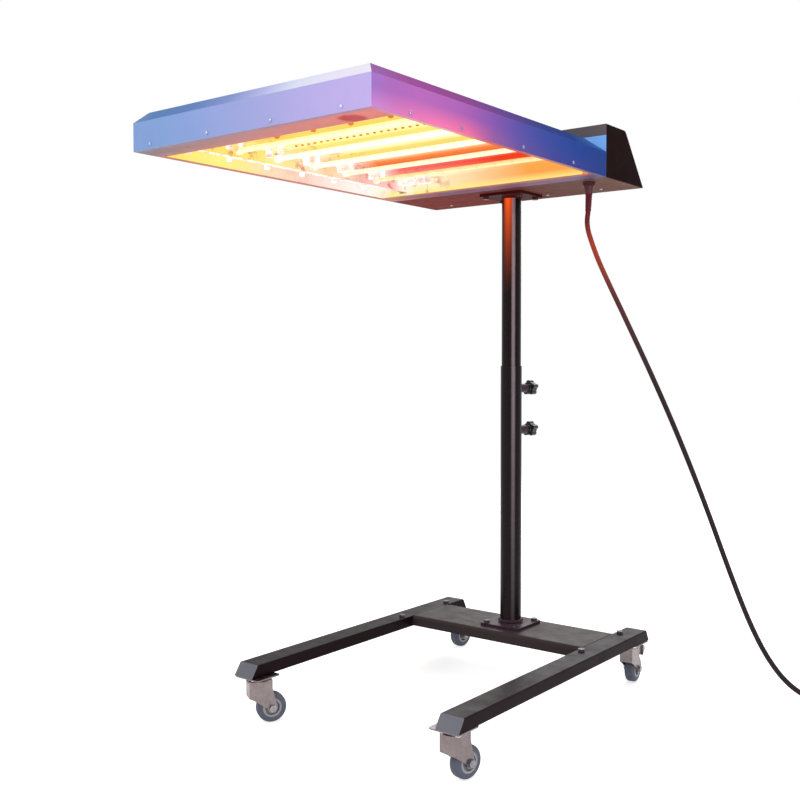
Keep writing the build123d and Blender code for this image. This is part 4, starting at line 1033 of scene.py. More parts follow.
@dataclass
class MainsCord(SubAssembly):
    """The free mains cord, its strain relief and its plug."""

    rubber: Material
    diameter: float = 0.011
    length: float = 3.122
    gland: Place = (0.222, MAST_Y - 0.048, 1.075)
    heading: float = 30.0
    route: tuple[Span, ...] = (
        (0.0, 1.075), (0.0, 1.047), (-0.005, 1.010), (0.009, 0.966), (0.026, 0.922), (0.080, 0.808),
        (0.143, 0.672), (0.196, 0.548), (0.246, 0.420), (0.292, 0.292), (0.336, 0.178), (0.376, 0.100),
        (0.421, 0.045), (0.480, 0.014), (0.548, 0.0058), (0.610, 0.0058))
    half_turns: int = 9
    middle_radius: float = 0.0605
    spacing: float = 0.0116
    low: float = 0.0058
    points_in_half: int = 6
    steps_per_point: int = 8
    quarter_ring_steps: int = 2
    lead_in: float = 0.011
    tail: float = 0.045
    tail_points: tuple[float, ...] = (0.35, 0.7, 1.0)
    drop: float = 0.35
    relief_ribs: int = 7
    relief_length: float = 0.036
    relief_radius: float = 0.0072
    relief_taper: float = 0.0011
    relief_groove: float = 0.0006
    # Shares of a rib's pitch at which its land ends, and its groove starts and ends.
    relief_profile: Place = (0.6, 0.7, 0.95)
    plug_ribs: int = 5
    plug_rib_pitch: float = 0.0035
    plug_rib: Span = (0.0021, 0.0024)
    plug_groove: float = 0.0008
    plug_neck: float = 0.0066
    plug_taper: float = 0.0005
    grip: Span = (0.024, 0.0405)
    grip_squeeze: float = 0.16
    pin_gap: float = 0.019
    pin_seat: float = 0.0455

    def out_along(self, reach: float, aside: float, height: float) -> Vector:
        """A point at some distance from the gland along the cord's heading.

        Args:
            reach: The distance along the heading.
            aside: The distance to its right.
            height: The height above the floor.

        Returns:
            The point.
        """
        turn = math.radians(self.heading)
        x = self.gland[0] + reach * math.cos(turn) + aside * math.sin(turn)
        y = self.gland[1] + reach * math.sin(turn) - aside * math.cos(turn)
        return Vector((x, y, height))

    def coil_points(self) -> list[Vector]:
        """Control points of the coil: in towards its middle, up a layer, and out again."""
        start = self.route[-1][0]
        middle = self.half_turns // 2
        step = math.pi / self.points_in_half
        # The spline runs inside its control points by this share, so they stand further out.
        swell = 1.0 / (0.75 + 0.25 * math.cos(step))
        ahead, across, aside = self.lead_in, 1.0, 0.0
        points = []
        height = self.low
        for turn in range(self.half_turns):
            radius = self.middle_radius + (abs(turn - middle) - middle / 2) * self.spacing / 2
            for i in range(self.points_in_half):
                share = (i + 0.5) / self.points_in_half
                angle = math.pi * share
                reach = ahead + across * radius * swell * math.sin(angle)
                over = aside + across * radius * (1.0 - swell * math.cos(angle))
                rise = self.spacing * share if turn == middle else 0.0
                points.append(self.out_along(start + reach, over, height + rise))
            aside += across * 2.0 * radius
            height += self.spacing if turn == middle else 0.0
            across = -across
        for share in self.tail_points:
            points.append(self.out_along(start + ahead + across * self.tail * share, aside, height))
        return points

    def spline_mesh(self, thickness: float) -> Mesh:
        """The cord's smooth spline as a mesh.

        Args:
            thickness: The sheath's diameter, or 0 for the bare line.

        Returns:
            The tube, or a chain of the points along its line.
        """
        points = [self.out_along(reach, 0.0, height) for reach, height in self.route] + self.coil_points()
        curve = bpy.data.curves.new("cord_route", "CURVE")
        curve.dimensions = "3D"
        curve.resolution_u = self.steps_per_point
        spline = curve.splines.new("NURBS")
        spline.points.add(len(points) - 1)
        for slot, point in zip(spline.points, points):
            slot.co = (*point, 1.0)
        spline.order_u = 3
        spline.use_endpoint_u = True
        curve.bevel_depth = thickness / 2
        curve.bevel_resolution = self.quarter_ring_steps
        curve.use_fill_caps = True
        holder = bpy.data.objects.new("cord_route", curve)
        mesh = bpy.data.meshes.new_from_object(holder)
        bpy.data.objects.remove(holder)
        bpy.data.curves.remove(curve)
        return mesh

    def build_relief(self, line: list[Vector]) -> Object:
        """The tapered, ribbed sleeve where the cord leaves the gland.

        Args:
            line: The points along the cord, which the sleeve leans with.

        Returns:
            The sleeve.
        """
        outline = [(0.0, 0.001), (0.0071, 0.001)]
        rib = self.relief_length / self.relief_ribs
        land, start, end = self.relief_profile
        for i in range(self.relief_ribs):
            top = -rib * i
            width = self.relief_radius - self.relief_taper * i / self.relief_ribs
            groove = width - self.relief_groove
            outline += [(width, top - 0.0004), (width, top - land * rib), (groove, top - start * rib),
                        (groove, top - end * rib)]
        outline += [(0.0058, -self.relief_length), (0.0, -self.relief_length)]
        foot = next(point for point in line if point.z < self.gland[2] - self.relief_length)
        place = facing(self.gland, Vector(self.gland) - foot)
        return build_copies("cord_strain_relief", Slot.RUBBER, turned(outline, 24), [place], self.rubber)

    def build_plug(self, end: Vector, heading: Vector) -> list[Object]:
        """The moulded two-pin plug on the cord's end.

        Args:
            end: The cord's end.
            heading: The direction in which it ends.

        Returns:
            The body and the pins.
        """
        ahead = Vector((heading.x, heading.y, 0.0)).normalized()
        side = Vector((0.0, 0.0, 1.0)).cross(ahead)
        place = Matrix.Translation(end) @ Matrix((side, ahead.cross(side), ahead)).transposed().to_4x4()
        outline = [(0.0, -0.002), (0.0062, -0.002)]
        for i in range(self.plug_ribs):
            z, width = self.plug_rib_pitch * i, self.plug_neck + self.plug_taper * i
            outline += [(width, z), (width, z + self.plug_rib[0]), (width - self.plug_groove, z + self.plug_rib[1])]
        outline += mm((10.2, 20.5), (13.4, 23.2), (15.2, 27.5), (15.5, 34), (15.2, 39.5), (16.6, 41.2), (17.1, 42.5),
                      (17.1, 45.2), (16.6, 46), (0, 46))
        shape = turned(outline, 40)
        low, high = self.grip
        for vertex in shape.vertices:
            if low < vertex.co.z < high:
                vertex.co.x *= 1.0 - self.grip_squeeze * math.sin(math.pi * (vertex.co.z - low) / (high - low))
        body = build_copies("mains_plug", Slot.RUBBER, shape, [place], self.rubber)
        pin = turned(mm((0, 0), (2.35, 0), (2.35, 17.2), (1.9, 18.6), (1, 19.4), (0, 19.5)), 20)
        seats = [place @ Matrix.Translation((side * self.pin_gap / 2, 0.0, self.pin_seat)) for side in (-1, 1)]
        return [body, build_copies("mains_plug_pins", Slot.STEEL, pin, seats, self.steel)]

    def build(self) -> None:
        """Builds the cord, its relief and its plug."""
        chain = self.spline_mesh(0.0)
        line = [v.co.copy() for v in chain.vertices]
        bpy.data.meshes.remove(chain)
        cord = build_copies("mains_cord", Slot.RUBBER, self.spline_mesh(self.diameter), [Matrix()], self.rubber,
                            sharp=60.0, merge=1e-6)
        relief = self.build_relief(line)
        plug = self.build_plug(line[-1], line[-1] - line[-2])
        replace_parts(cord, "power_cord", "cord_coil")
        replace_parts(plug[0], "power_plug")
        for piece in (cord, *plug):
            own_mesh(piece)


@dataclass
class HeaterHead(SubAssembly):
    """The blue heater head: its shell, reflector, tubes and the fittings in its mouth."""

    tube_height: float = 1.12
    sheet_height: float = UNDERSIDE + 0.043
    tube_first: float = 0.075
    tube_pitch: float = 0.1
    tubes: int = 6
    left: float = -0.188
    right: float = 0.244
    first_lane: float = -0.2215
    lane_gap: float = 0.0055
    bead_gap: float = 0.0053
    bead_after_bend: float = 0.008
    bead_rear_gap: float = 0.03
    bead_from_lane: float = 0.006
    bead_cap_gap: float = 0.0255
    # X, drop of the sheet there, distance behind each tube, radius.
    standoffs: tuple[tuple[float, float, float, float], ...] = (
        (-0.26, 0.0, 0.036, 0.0062), (-0.165, 0.012, 0.05, 0.0072), (-0.132, 0.012, 0.047, 0.0056))
    standoff_reach: float = 0.008
    standoff_rib: float = 0.006
    standoff_foot: float = 0.0012
    standoff_neck: float = 0.72
    standoff_end: float = 0.8
    # Shares of a rib's pitch at which its land ends, and its groove starts and ends.
    standoff_profile: Place = (0.6, 0.7, 0.9)
    block: tuple[float, float, float] = (0.024, 0.018, 0.027)
    block_edge: float = 0.0022
    block_y: float = 0.15
    well_proud: float = 0.0005
    block_xs: tuple[float, ...] = (-0.176, -0.148, -0.12)
    winding_radius: float = 0.0025
    wire_radius: float = 0.00045
    turns: int = 96
    lengths: int = 8
    steps_in_turn: int = 10
    lead_length: float = 0.012
    lead_start: float = 0.0096
    lead_end: float = 0.0024
    lead_thickness: float = 1.6
    lead_rounding: float = 0.0004
    spacers: int = 9
    screw_radius: float = 0.0032
    screw_head: float = 0.0016
    screw_height: float = 1.1085
    # Shares of the head's radius and depth, from the recess's rim down to the seat.
    screw_profile: tuple[Span, ...] = ((0.78, -0.06), (0.95, -0.3), (1.0, -0.55), (1.0, -1.0), (0.55, -1.0))
    recess_reach: float = 0.52
    recess_arm: float = 0.25
    recess_depth: float = 0.5
    front_screws: tuple[float, ...] = (0.048, 0.198, 0.349, 0.5)
    side_screws: tuple[float, ...] = (0.092, 0.229, 0.419, 0.601)
    floor_screws: tuple[float, ...] = (0.067, 0.201)
    floor_screw_y: float = MAST_Y + 0.046
    screw_turn: float = 37.0
    collar_seat: float = 0.018
    nut_seat: float = 0.0195
    rivet_y: float = -0.213
    rivet_end: float = 0.158
    rivet_step: float = 0.0165
    rivets: int = 20
    clip_y: float = -0.298
    clips: tuple[float, ...] = (-0.122, -0.03, 0.06, 0.15)

    def tube_places(self) -> list[float]:
        """The Y of each tube, from the front."""
        return [HEAD_FRONT + self.tube_first + i * self.tube_pitch for i in range(self.tubes)]

    def along_tubes(self, x: float, outward: Place = RIGHT) -> list[Matrix]:
        """A place on each tube's axis at some X, facing along it."""
        return [facing((x, y, self.tube_height), outward) for y in self.tube_places()]

    def build_windings(self, wire: Material) -> None:
        """The coiled resistance wire inside each tube, with its straight ends."""
        run = (self.right - self.left) / self.lengths
        turns = self.turns // self.lengths
        steps = turns * self.steps_in_turn
        bm = bmesh.new()
        start = Matrix.Translation((0.0, 0.0, self.winding_radius)) @ Matrix.Rotation(math.pi / 2, 4, "X")
        ring = bmesh.ops.create_circle(bm, segments=5, radius=self.wire_radius, matrix=start)["verts"]
        bmesh.ops.spin(bm, geom=ring + bm.edges[:], cent=(0, 0, 0), axis=(1, 0, 0), dvec=(run / steps, 0, 0),
                       angle=2 * math.pi * turns, steps=steps, use_merge=False, use_duplicate=False)
        piece = Piece("heater_windings", "head", Slot.GLOWING_WIRE)
        piece.stamp(as_mesh(bm), [Matrix.Translation((self.left + run * i, y, self.tube_height))
                                  for i in range(self.lengths) for y in self.tube_places()])
        bmesh.ops.remove_doubles(piece.bm, verts=piece.bm.verts, dist=1e-5)
        bmesh.ops.holes_fill(piece.bm, edges=[e for e in piece.bm.edges if e.is_boundary], sides=8)
        thick = self.lead_thickness * self.wire_radius
        long, rounded = self.lead_length, self.lead_rounding
        lead = turned([(0.0, 0.0), (0.8 * thick, 0.0), (thick, rounded), (thick, long - rounded), (0.8 * thick, long),
                       (0.0, long)], 8)
        lift = Matrix.Translation((0.0, 0.0, self.winding_radius))
        ends = self.along_tubes(self.left - self.lead_start) + self.along_tubes(self.right - self.lead_end)
        piece.stamp(lead, [lift @ place for place in ends])
        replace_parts(piece.finish(wire, sharp=80.0), "heater_elements")

    def build_spacers(self, ceramic: Material) -> None:
        """The ceramic rings that hold each winding in the middle of its tube."""
        gap = (self.right - self.left) / (self.spacers + 1)
        outline = mm((3.05, -1.1), (3.7, -1.1), (3.9, -0.8), (3.9, 0.8), (3.7, 1.1), (3.05, 1.1), (3.05, -1.1))
        places = [place for i in range(self.spacers) for place in self.along_tubes(self.left + gap * (i + 1))]
        build_copies("winding_spacers", Slot.CERAMIC, turned(outline, 16), places, ceramic)

    def build_sheet_fixings(self, hot: Material) -> None:
        """The row of rivets across the reflector, and the spring clips in front of them."""
        dome = turned(mm((0, 2.4), (1.5, 2.2), (2.6, 1.5), (3.2, 0.5), (3.3, 0), (0, 0)), 16)
        first = self.rivet_end - self.rivet_step * (self.rivets - 1)
        row = [first + self.rivet_step * i for i in range(self.rivets)]
        cup = turned(mm((0, 1.6), (1.8, 1.6), (2.4, 3.8), (3.7, 4.4), (4.7, 3.5), (5.2, 1.2), (5.9, 0), (0, 0)), 20)
        for name, shape, xs, y in (("reflector_rivets", dome, row, self.rivet_y),
                                   ("reflector_clips", cup, self.clips, self.clip_y)):
            places = [facing((x, y, self.sheet_height), DOWN) for x in xs]
            build_copies(name, Slot.STEEL, shape, places, hot)

    def lane(self, tube: int) -> float:
        """The X of the lane in which a tube's left wire runs to the rear."""
        return self.first_lane - self.lane_gap * tube

    def build_beads(self, ceramic: Material) -> None:
        """The strings of ceramic beads over the left wires, from the caps to the rear wall."""
        bead = turned(mm((1.55, 0), (2.1, 0), (2.5, 0.6), (2.5, 3.8), (2.1, 4.8), (1.55, 4.8), (1.55, 0)), 10)
        places = []
        for tube, y in enumerate(self.tube_places()):
            lane = self.lane(self.tubes - 1 - tube)
            start, end = y + self.bead_after_bend, HEAD_REAR - self.bead_rear_gap
            places += [facing((lane, start + self.bead_gap * i, self.tube_height), REAR)
                       for i in range(int((end - start) / self.bead_gap))]
            start, end = lane + self.bead_from_lane, self.left - self.bead_cap_gap
            places += [facing((start + self.bead_gap * i, y, self.tube_height), RIGHT)
                       for i in range(int((end - start) / self.bead_gap))]
        build_copies("wire_beads", Slot.CERAMIC, bead, places, ceramic)

    def build_insulators(self, ceramic: Material) -> None:
        """The ribbed ceramic stand-offs under the reflector, beside the wires and between the left tube ends."""
        piece = Piece("reflector_insulators", "head", Slot.CERAMIC)
        foot = self.standoff_foot
        land, deep, shallow = self.standoff_profile
        for x, drop, first, radius in self.standoffs:
            top = self.sheet_height - drop
            tall = top - self.tube_height + self.standoff_reach
            ribs = max(2, int(tall / self.standoff_rib))
            rib = (tall - 2 * foot) / ribs
            neck, end = self.standoff_neck * radius, self.standoff_end * radius
            outline = [(0.0, 0.0), (end, 0.0), (radius, foot)]
            for i in range(ribs):
                low = foot + rib * i
                outline += [(radius, low + land * rib), (neck, low + deep * rib), (neck, low + shallow * rib),
                            (radius, low + rib)]
            outline += [(end, tall), (0.0, tall)]
            start = HEAD_FRONT + self.tube_first + first
            piece.stamp(turned(outline, 20), [facing((x, start + self.tube_pitch * i, top), DOWN)
                                              for i in range(self.tubes)])
        piece.finish(ceramic)

    def build_blocks(self, ceramic: Material) -> None:
        """The glazed terminal blocks behind the left ends of the rear tubes."""
        bm = bmesh.new()
        bmesh.ops.create_cube(bm, size=1.0, matrix=Matrix.Diagonal((*self.block, 1.0)))
        bmesh.ops.bevel(bm, geom=bm.edges[:], offset=self.block_edge, offset_type="OFFSET", segments=3,
                        profile=0.5, affect="EDGES", material=-1)
        well = turned(mm((0, 0), (3.2, 0), (4.2, 0.4), (4.6, -1.2), (4.2, -2.8), (0, -2.8)), 16)
        body = Piece("terminal_blocks", "head", Slot.CERAMIC)
        middles = [(x, self.block_y, self.sheet_height - self.block[2] / 2) for x in self.block_xs]
        body.stamp(as_mesh(bm), [Matrix.Translation(middle) for middle in middles])
        face = self.block_y - self.block[1] / 2 - self.well_proud
        body.stamp(well, [facing((x, face, z), FRONT) for x, _, z in middles])
        body.finish(ceramic)

    def build_tube_ends(self) -> None:
        """The nuts on the right bus bar, and the crimped collars where the left wires leave their caps."""
        collar = turned(mm((0, 0), (2.6, 0), (3, 0.5), (3, 3), (2.4, 3.6), (3, 4.2), (3, 6.6), (2.2, 7.2),
                           (0, 7.2)), 16)
        places = self.along_tubes(self.left - self.collar_seat, LEFT)
        build_copies("wire_collars", Slot.STEEL, collar, places, self.steel)
        nut = turned(mm((0, 0), (3.6, 0), (3.6, 2.4), (3, 2.8), (1.8, 2.8), (1.8, 5.2), (1.4, 5.6), (0, 5.6)), 6)
        places = self.along_tubes(self.right + self.nut_seat)
        build_copies("bus_bar_nuts", Slot.STEEL, nut, places, self.steel, sharp=25.0)

    def pan_screw(self) -> Mesh:
        """One pan-head screw with a cross recess, its seat at the origin and its head along Z."""
        bm = bmesh.new()
        core = self.screw_radius * self.recess_reach
        bmesh.ops.create_grid(bm, x_segments=5, y_segments=5, size=core)
        arm = core * self.recess_arm
        cross = [f for f in bm.faces if min(map(abs, f.calc_center_median().xy)) < arm
                 and max(map(abs, f.calc_center_median().xy)) < 3 * arm]
        rim = [e for e in bm.edges if e.is_boundary]
        sunk = bmesh.ops.extrude_face_region(bm, geom=cross)["geom"]
        bmesh.ops.delete(bm, geom=cross, context="FACES_ONLY")
        floor = [g for g in sunk if isinstance(g, bmesh.types.BMVert)]
        bmesh.ops.translate(bm, verts=floor, vec=(0, 0, -self.screw_head * self.recess_depth))
        for radius, height in self.screw_profile:
            grown = bmesh.ops.extrude_edge_only(bm, edges=rim)["geom"]
            ring = [g for g in grown if isinstance(g, bmesh.types.BMVert)]
            rim = [g for g in grown if isinstance(g, bmesh.types.BMEdge) and all(v in ring for v in g.verts)]
            for vertex in ring:
                flat = Vector((vertex.co.x, vertex.co.y, 0.0)).normalized() * self.screw_radius * radius
                vertex.co = Vector((flat.x, flat.y, self.screw_head * height))
        bmesh.ops.contextual_create(bm, geom=rim)
        bmesh.ops.translate(bm, verts=bm.verts, vec=(0, 0, self.screw_head))
        return as_mesh(bm)

    def build_screws(self, zinc: Material) -> None:
        """The screws of the head's walls and of the control box's floor."""
        seats = [((-HEAD_SIDE + x, HEAD_FRONT, self.screw_height), FRONT) for x in self.front_screws]
        for side in (-1, 1):
            seats += [((side * HEAD_SIDE, HEAD_FRONT + y, self.screw_height), (side, 0, 0)) for y in self.side_screws]
            seats += [((side * x, self.floor_screw_y, UNDERSIDE), DOWN) for x in self.floor_screws]
        places = [facing(point, outward, self.screw_turn * i) for i, (point, outward) in enumerate(seats)]
        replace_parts(build_copies("cover_screw_heads", Slot.STEEL, self.pan_screw(), places, zinc), "cover_screws")

    def dress_shell(self) -> None:
        """Finishes for the painted sheets."""
        HeadPaint().dress("head_shell")
        LipPaint().dress("bottom_frame")

    def dress_mouth(self) -> Material:
        """Finishes for what glows or is lit in the mouth.

        Returns:
            The finish of the lit ceramic.
        """
        GlowLitSheet().dress("reflector", "tube_rails")
        HotQuartz().dress("quartz_tubes")
        # Painted light: the caps' white is the heater's light painted as emission, with painted red-purple shade
        # between.
        ceramic = Moulded("cap_ceramic", (0.7, 0.66, 0.62), tone(150, 60, 60), rough=0.6, scuffed=0.4,
                          glow=tone(254, 250, 244), glow_low=tone(214, 96, 92), glow_strength=0.85)
        caps = ceramic.build()
        dress(caps, "tube_end_caps")
        Woven("board_fibre", (0.8, 0.78, 0.72), (0.5, 0.47, 0.42), weave=160.0).dress("insulation_board")
        # Painted light: the sleeves' pale glow and red-purple shade are painted as emission.
        sleeve = Woven("glass_sleeve", (0.6, 0.5, 0.46), (0.3, 0.14, 0.16), glow=tone(250, 226, 214),
                       glow_low=tone(176, 60, 70), glow_strength=0.6)
        sleeve.dress("heater_wiring")
        return caps

    def build(self) -> None:
        """Dresses the head and builds what is in its mouth."""
        self.dress_shell()
        ceramic = self.dress_mouth()
        self.build_beads(ceramic)
        self.build_insulators(ceramic)
        self.build_blocks(ceramic)
        self.build_windings(HotWire().build())
        self.build_spacers(Moulded("spacer_ceramic", (0.3, 0.17, 0.1), (0.16, 0.07, 0.04), rough=0.6).build())
        # Painted light: the rivets and clips take the tubes' orange light as their colour and emission.
        fixings = Moulded("glow_lit_fixings", tone(140, 70, 30), tone(110, 50, 24), rough=0.5,
                          glow=tone(232, 150, 60), glow_low=tone(206, 106, 44), glow_strength=0.7)
        self.build_sheet_fixings(fixings.build())
        self.build_tube_ends()
        screws = BareMetal("wall_screw_zinc", tone(170, 174, 196), tone(140, 142, 164), rough=0.34)
        self.build_screws(screws.build())


@dataclass
class ControlBox(SubAssembly):
    """The black box behind the head, with its dial and switch on the sloping rear face."""

    slope: float = math.atan2(PANEL_RUN, PANEL_RISE)
    panel_height: float = 1.148
    panel_y: float = MAST_Y + 0.004 + PANEL_RUN * 0.06 / PANEL_RISE
    dial_x: float = -0.09
    lamp_x: float = 0.0
    switch_x: float = 0.09
    tick_inner: float = 0.0262
    tick_outer: float = 0.0296
    number_radius: float = 0.0345
    sweep: float = 270.0
    marks: int = 11
    tick_width: float = 0.0008
    tick_rounding: float = 0.45
    mark_relief: float = 0.0003
    letter_size: float = 0.0062
    word_offset: float = 0.0215

    def on_panel(self, x: float, across: float = 0.0, up: float = 0.0, turn: float = 0.0) -> Matrix:
        """A place on the sloping face: local X runs to a viewer's right and local Y up the slope.

        Args:
            x: The place's X on the box.
            across: How far it moves to the viewer's right.
            up: How far it moves up the slope.
            turn: A turn about the face's normal in degrees.

        Returns:
            The matrix.
        """
        right = Vector((-1.0, 0.0, 0.0))
        normal = Vector((0.0, math.cos(self.slope), math.sin(self.slope)))
        climb = normal.cross(right)
        base = Matrix((right, climb, normal)).transposed().to_4x4()
        origin = Vector((x, self.panel_y, self.panel_height)) + right * across + climb * up
        return Matrix.Translation(origin) @ base @ Matrix.Rotation(math.radians(turn), 4, "Z")

    def word(self, text: str) -> Mesh:
        """Raised lettering.

        Args:
            text: What it says.

        Returns:
            The lettering, centred on the origin.
        """
        curve = bpy.data.curves.new("lettering", "FONT")
        curve.body = text
        curve.size = self.letter_size
        curve.extrude = self.mark_relief / 2
        curve.align_x = curve.align_y = "CENTER"
        holder = linked("lettering", curve)
        mesh = bpy.data.meshes.new_from_object(holder)
        mesh.materials.clear()
        bpy.data.objects.remove(holder)
        bpy.data.curves.remove(curve)
        return mesh

    def tick(self) -> Mesh:
        """One raised mark with softened corners."""
        bm = bmesh.new()
        length = self.tick_outer - self.tick_inner
        bmesh.ops.create_cube(bm, size=1.0, matrix=Matrix.Diagonal((self.tick_width, length, self.mark_relief, 1.0)))
        upright = [e for e in bm.edges if abs(e.verts[0].co.z - e.verts[1].co.z) > self.mark_relief / 2]
        bmesh.ops.bevel(bm, geom=upright, offset=self.tick_rounding * self.tick_width, offset_type="OFFSET",
                        segments=2, profile=0.5, affect="EDGES", material=-1)
        return as_mesh(bm)

    def build_scale(self, white: Material) -> None:
        """Marks and numbers round the dial, and the switch's two words."""
        piece = Piece("panel_marks", "head", Slot.CERAMIC)
        middle = (self.tick_inner + self.tick_outer) / 2
        ticks = []
        for i in range(self.marks):
            angle = math.radians(90.0 + self.sweep / 2 - self.sweep * i / (self.marks - 1))
            across, up = math.cos(angle), math.sin(angle)
            ticks.append(self.on_panel(self.dial_x, across * middle, up * middle, math.degrees(angle) - 90.0))
            piece.stamp(self.word(str(i)),
                        [self.on_panel(self.dial_x, across * self.number_radius, up * self.number_radius)])
        piece.stamp(self.tick(), ticks)
        for text, up in (("ON", self.word_offset), ("OFF", -self.word_offset)):
            piece.stamp(self.word(text), [self.on_panel(self.switch_x, 0.0, up)])
        piece.finish(white, sharp=30.0, merge=1e-6)

    def build_pilot_lamp(self) -> None:
        """The amber pilot lamp between dial and switch, in its plated ring."""
        place = [self.on_panel(self.lamp_x)]
        ring = turned(mm((6.2, 0), (9.2, 0), (9.2, 1), (8.4, 2.2), (6.8, 2.6), (6.2, 2.2), (6.2, 0)), 32)
        build_copies("pilot_lamp_ring", Slot.STEEL, ring, place, self.steel)
        lens = turned(mm((0, 5.2), (2, 5), (3.8, 4.3), (5.2, 3.2), (5.9, 1.8), (6, 0), (0, 0)), 28)
        amber = Moulded("pilot_amber", tone(226, 110, 26), tone(170, 70, 20), rough=0.2, specular=0.5, scuffed=0.1,
                        glow=tone(255, 150, 40), glow_low=tone(240, 110, 20), glow_strength=0.5)
        build_copies("pilot_lamp_lens", Slot.CERAMIC, lens, place, amber.build())

    def build(self) -> None:
        """Dresses the box and builds what is on its panel."""
        BoxPaint().dress("control_cover")
        FloorPaint().dress("control_floor")
        black = Moulded("control_plastic", tone(26, 25, 27), tone(74, 74, 76), rough=0.38)
        black.dress("power_dial", "switch_bezel")
        Moulded("gland_nylon", tone(74, 28, 40), tone(110, 60, 60), rough=0.4).dress("cord_gland")
        red = Moulded("rocker_red", tone(176, 28, 24), tone(180, 96, 84), rough=0.28, scuffed=0.15)
        red.dress("power_switch")
        Moulded("block_ceramic", (0.8, 0.77, 0.7), (0.45, 0.4, 0.34), rough=0.55).dress("terminal_block")
        self.build_scale(Moulded("mark_white", (0.78, 0.78, 0.75), (0.5, 0.5, 0.48), rough=0.5).build())
        self.build_pilot_lamp()


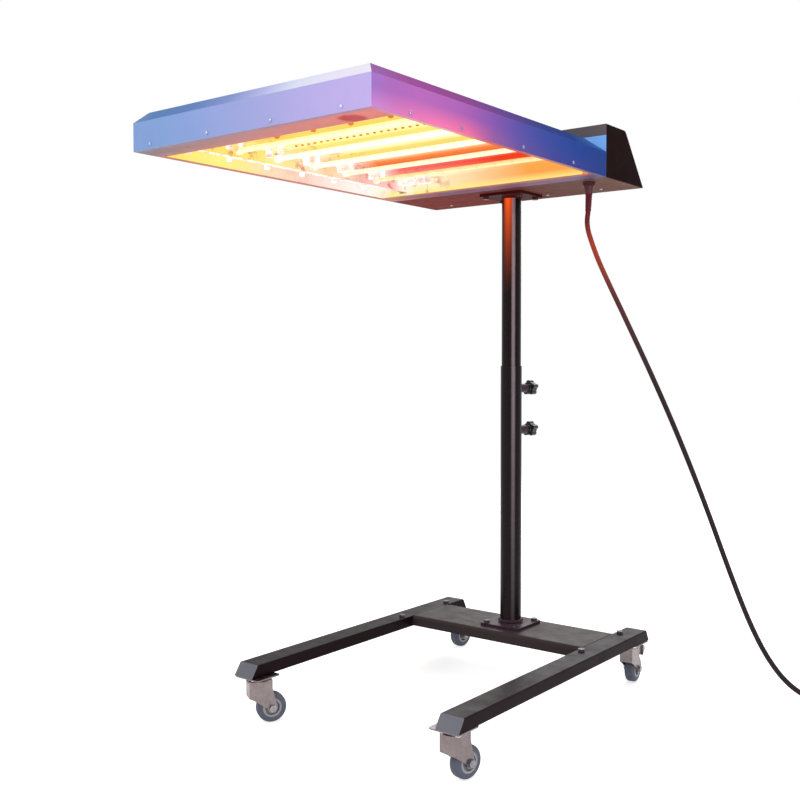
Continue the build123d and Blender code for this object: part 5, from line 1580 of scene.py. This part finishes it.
@dataclass
class Mast(SubAssembly):
    """The telescopic mast with its clamp knobs and the weld round its foot."""

    knob_heights: tuple[tuple[str, float], ...] = (("upper", 0.662), ("lower", 0.566))
    knob_face: float = MAST_Y + 0.092
    radius: float = 0.024
    weld_width: float = 0.0045
    weld_ripples: int = 44
    weld_ripple: float = 0.03
    weld_overlap: float = 0.0006
    # Shares of the bead's width, and heights, from the foot up.
    weld_profile: tuple[Span, ...] = ((1.0, 0.0), (0.9, 0.0012), (0.5, 0.0028), (0.0, 0.0042))

    def build_caps(self, plastic: Material) -> None:
        """The press-in cap on each clamp knob's outer face."""
        for name, height in self.knob_heights:
            piece = Piece(f"{name}_knob_cap", f"{name}_knob", Slot.KNOB)
            cap = turned(mm((0, 1.2), (3.5, 1.2), (4.2, 0.2), (5.2, 0.2), (5.8, 1), (7.2, 0.8), (7.6, -0.4),
                            (7.6, -2), (0, -2)), 28)
            piece.stamp(cap, [facing((0.0, self.knob_face, height), REAR)])
            piece.finish(plastic)

    def build_weld(self, paint: Material) -> None:
        """The painted weld bead between the mast and its flange."""
        width, inner = self.weld_width, self.radius - self.weld_overlap
        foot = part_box("mast_flange")[1][2]
        face = [(self.radius + share * width, height) for share, height in self.weld_profile]
        bead = turned([(inner, 0.0), *face, (inner, face[-1][1]), (inner, 0.0)], 5 * self.weld_ripples)
        for vertex in bead.vertices:
            out = math.hypot(vertex.co.x, vertex.co.y) - self.radius
            if out > 0.1 * width:
                ripple = math.sin(self.weld_ripples * math.atan2(vertex.co.y, vertex.co.x))
                grown = 1.0 + self.weld_ripple * ripple * out / width
                vertex.co.x *= grown
                vertex.co.y *= grown
        piece = Piece("mast_foot_weld", "base", Slot.STEEL)
        piece.stamp(bead, [Matrix.Translation((0.0, MAST_Y, foot))])
        piece.finish(paint)

    def build(self) -> None:
        """Dresses the mast and its clamps."""
        MastPaint("mast_black", tone(24, 14, 17)).dress("outer_mast")
        foot = PowderCoat("flange_black", tone(58, 38, 49), rough=0.36, worn=(0.2, 0.18, 0.18)).build()
        MastPaint("inner_mast_black", tone(22, 10, 12)).dress("inner_mast")
        plate = PowderCoat("head_plate_black", tone(70, 22, 24), rough=0.5, specular=0.02, worn=(0.12, 0.04, 0.04),
                           dusty=0.02)
        plate.dress("head_plate")
        dress(foot, "mast_flange", "clamp_bosses")
        dress(self.steel, "upper_clamp_screw", "lower_clamp_screw")
        dark = BareMetal("plate_bolt_zinc", tone(104, 60, 56), tone(80, 44, 42), rough=0.4, grime=0.4)
        dark.dress("head_plate_bolts")
        knob = Moulded("knob_black", tone(24, 22, 25), tone(62, 60, 60), rough=0.33)
        knob.dress("upper_clamp_knob", "lower_clamp_knob")
        nylon = Moulded("bush_nylon", (0.7, 0.68, 0.62), (0.45, 0.42, 0.36), rough=0.5)
        nylon.dress("guide_bush", "upper_clamp_pad", "lower_clamp_pad")
        self.build_caps(Moulded("knob_cap_grey", tone(62, 62, 66), tone(104, 104, 104), rough=0.4).build())
        self.build_weld(foot)


@dataclass
class BaseFrame(SubAssembly):
    """The U-shaped base: two legs and the crossbar under the mast."""

    def build(self) -> None:
        """Dresses the base."""
        LegPaint().dress("left_leg", "right_leg")
        bar = PowderCoat("crossbar_black", tone(52, 43, 44), rough=0.42, specular=0.06, worn=(0.17, 0.16, 0.16),
                         dusty=0.03)
        bar.dress("crossbar")
        BareMetal("black_zinc", tone(96, 90, 96), tone(70, 64, 70), rough=0.4, grime=0.4).dress("base_bolts")
        dress(self.steel, "caster_bolts")


@dataclass
class Casters:
    """The four swivel casters."""

    def build(self) -> None:
        """Dresses the casters."""
        zinc = BareMetal("fork_zinc", tone(132, 121, 122), tone(116, 106, 107), rough=0.3,
                         grain=(60.0, 60.0, 900.0), grime=0.3).build()
        axle = BareMetal("axle_zinc", tone(150, 150, 156), tone(120, 118, 122), rough=0.36, grime=0.3).build()
        hub = Moulded("hub_grey", tone(150, 150, 158), tone(110, 110, 116), rough=0.4, scuffed=0.4).build()
        tyre = Moulded("tyre_grey", tone(84, 88, 100), tone(120, 120, 130), rough=0.62, grain=380.0,
                       depth=0.00014, scuffed=0.45).build()
        for name in CASTERS:
            dress(zinc, f"{name}_caster_plate", f"{name}_caster_fork")
            dress(axle, f"{name}_wheel_axle")
            dress(hub, f"{name}_wheel_hub")
            dress(tyre, f"{name}_wheel_tyre")
        for name in BRAKED:
            dress(zinc, f"{name}_brake_pedal")


def main() -> None:
    """Builds the camera and cord first, then each sub-assembly."""
    logging.basicConfig(level=logging.INFO, format="%(name)s: %(message)s")
    steel = BareMetal("bright_plated", (0.78, 0.77, 0.76), (0.64, 0.63, 0.64), rough=0.24, spots=90.0,
                      grime=0.2).build()
    rubber = CordRubber().build()
    for part in (Studio(), MainsCord(steel, rubber), HeaterHead(steel), ControlBox(steel), Mast(steel),
                 BaseFrame(steel), Casters()):
        part.build()


if __name__ == "__main__":
    main()
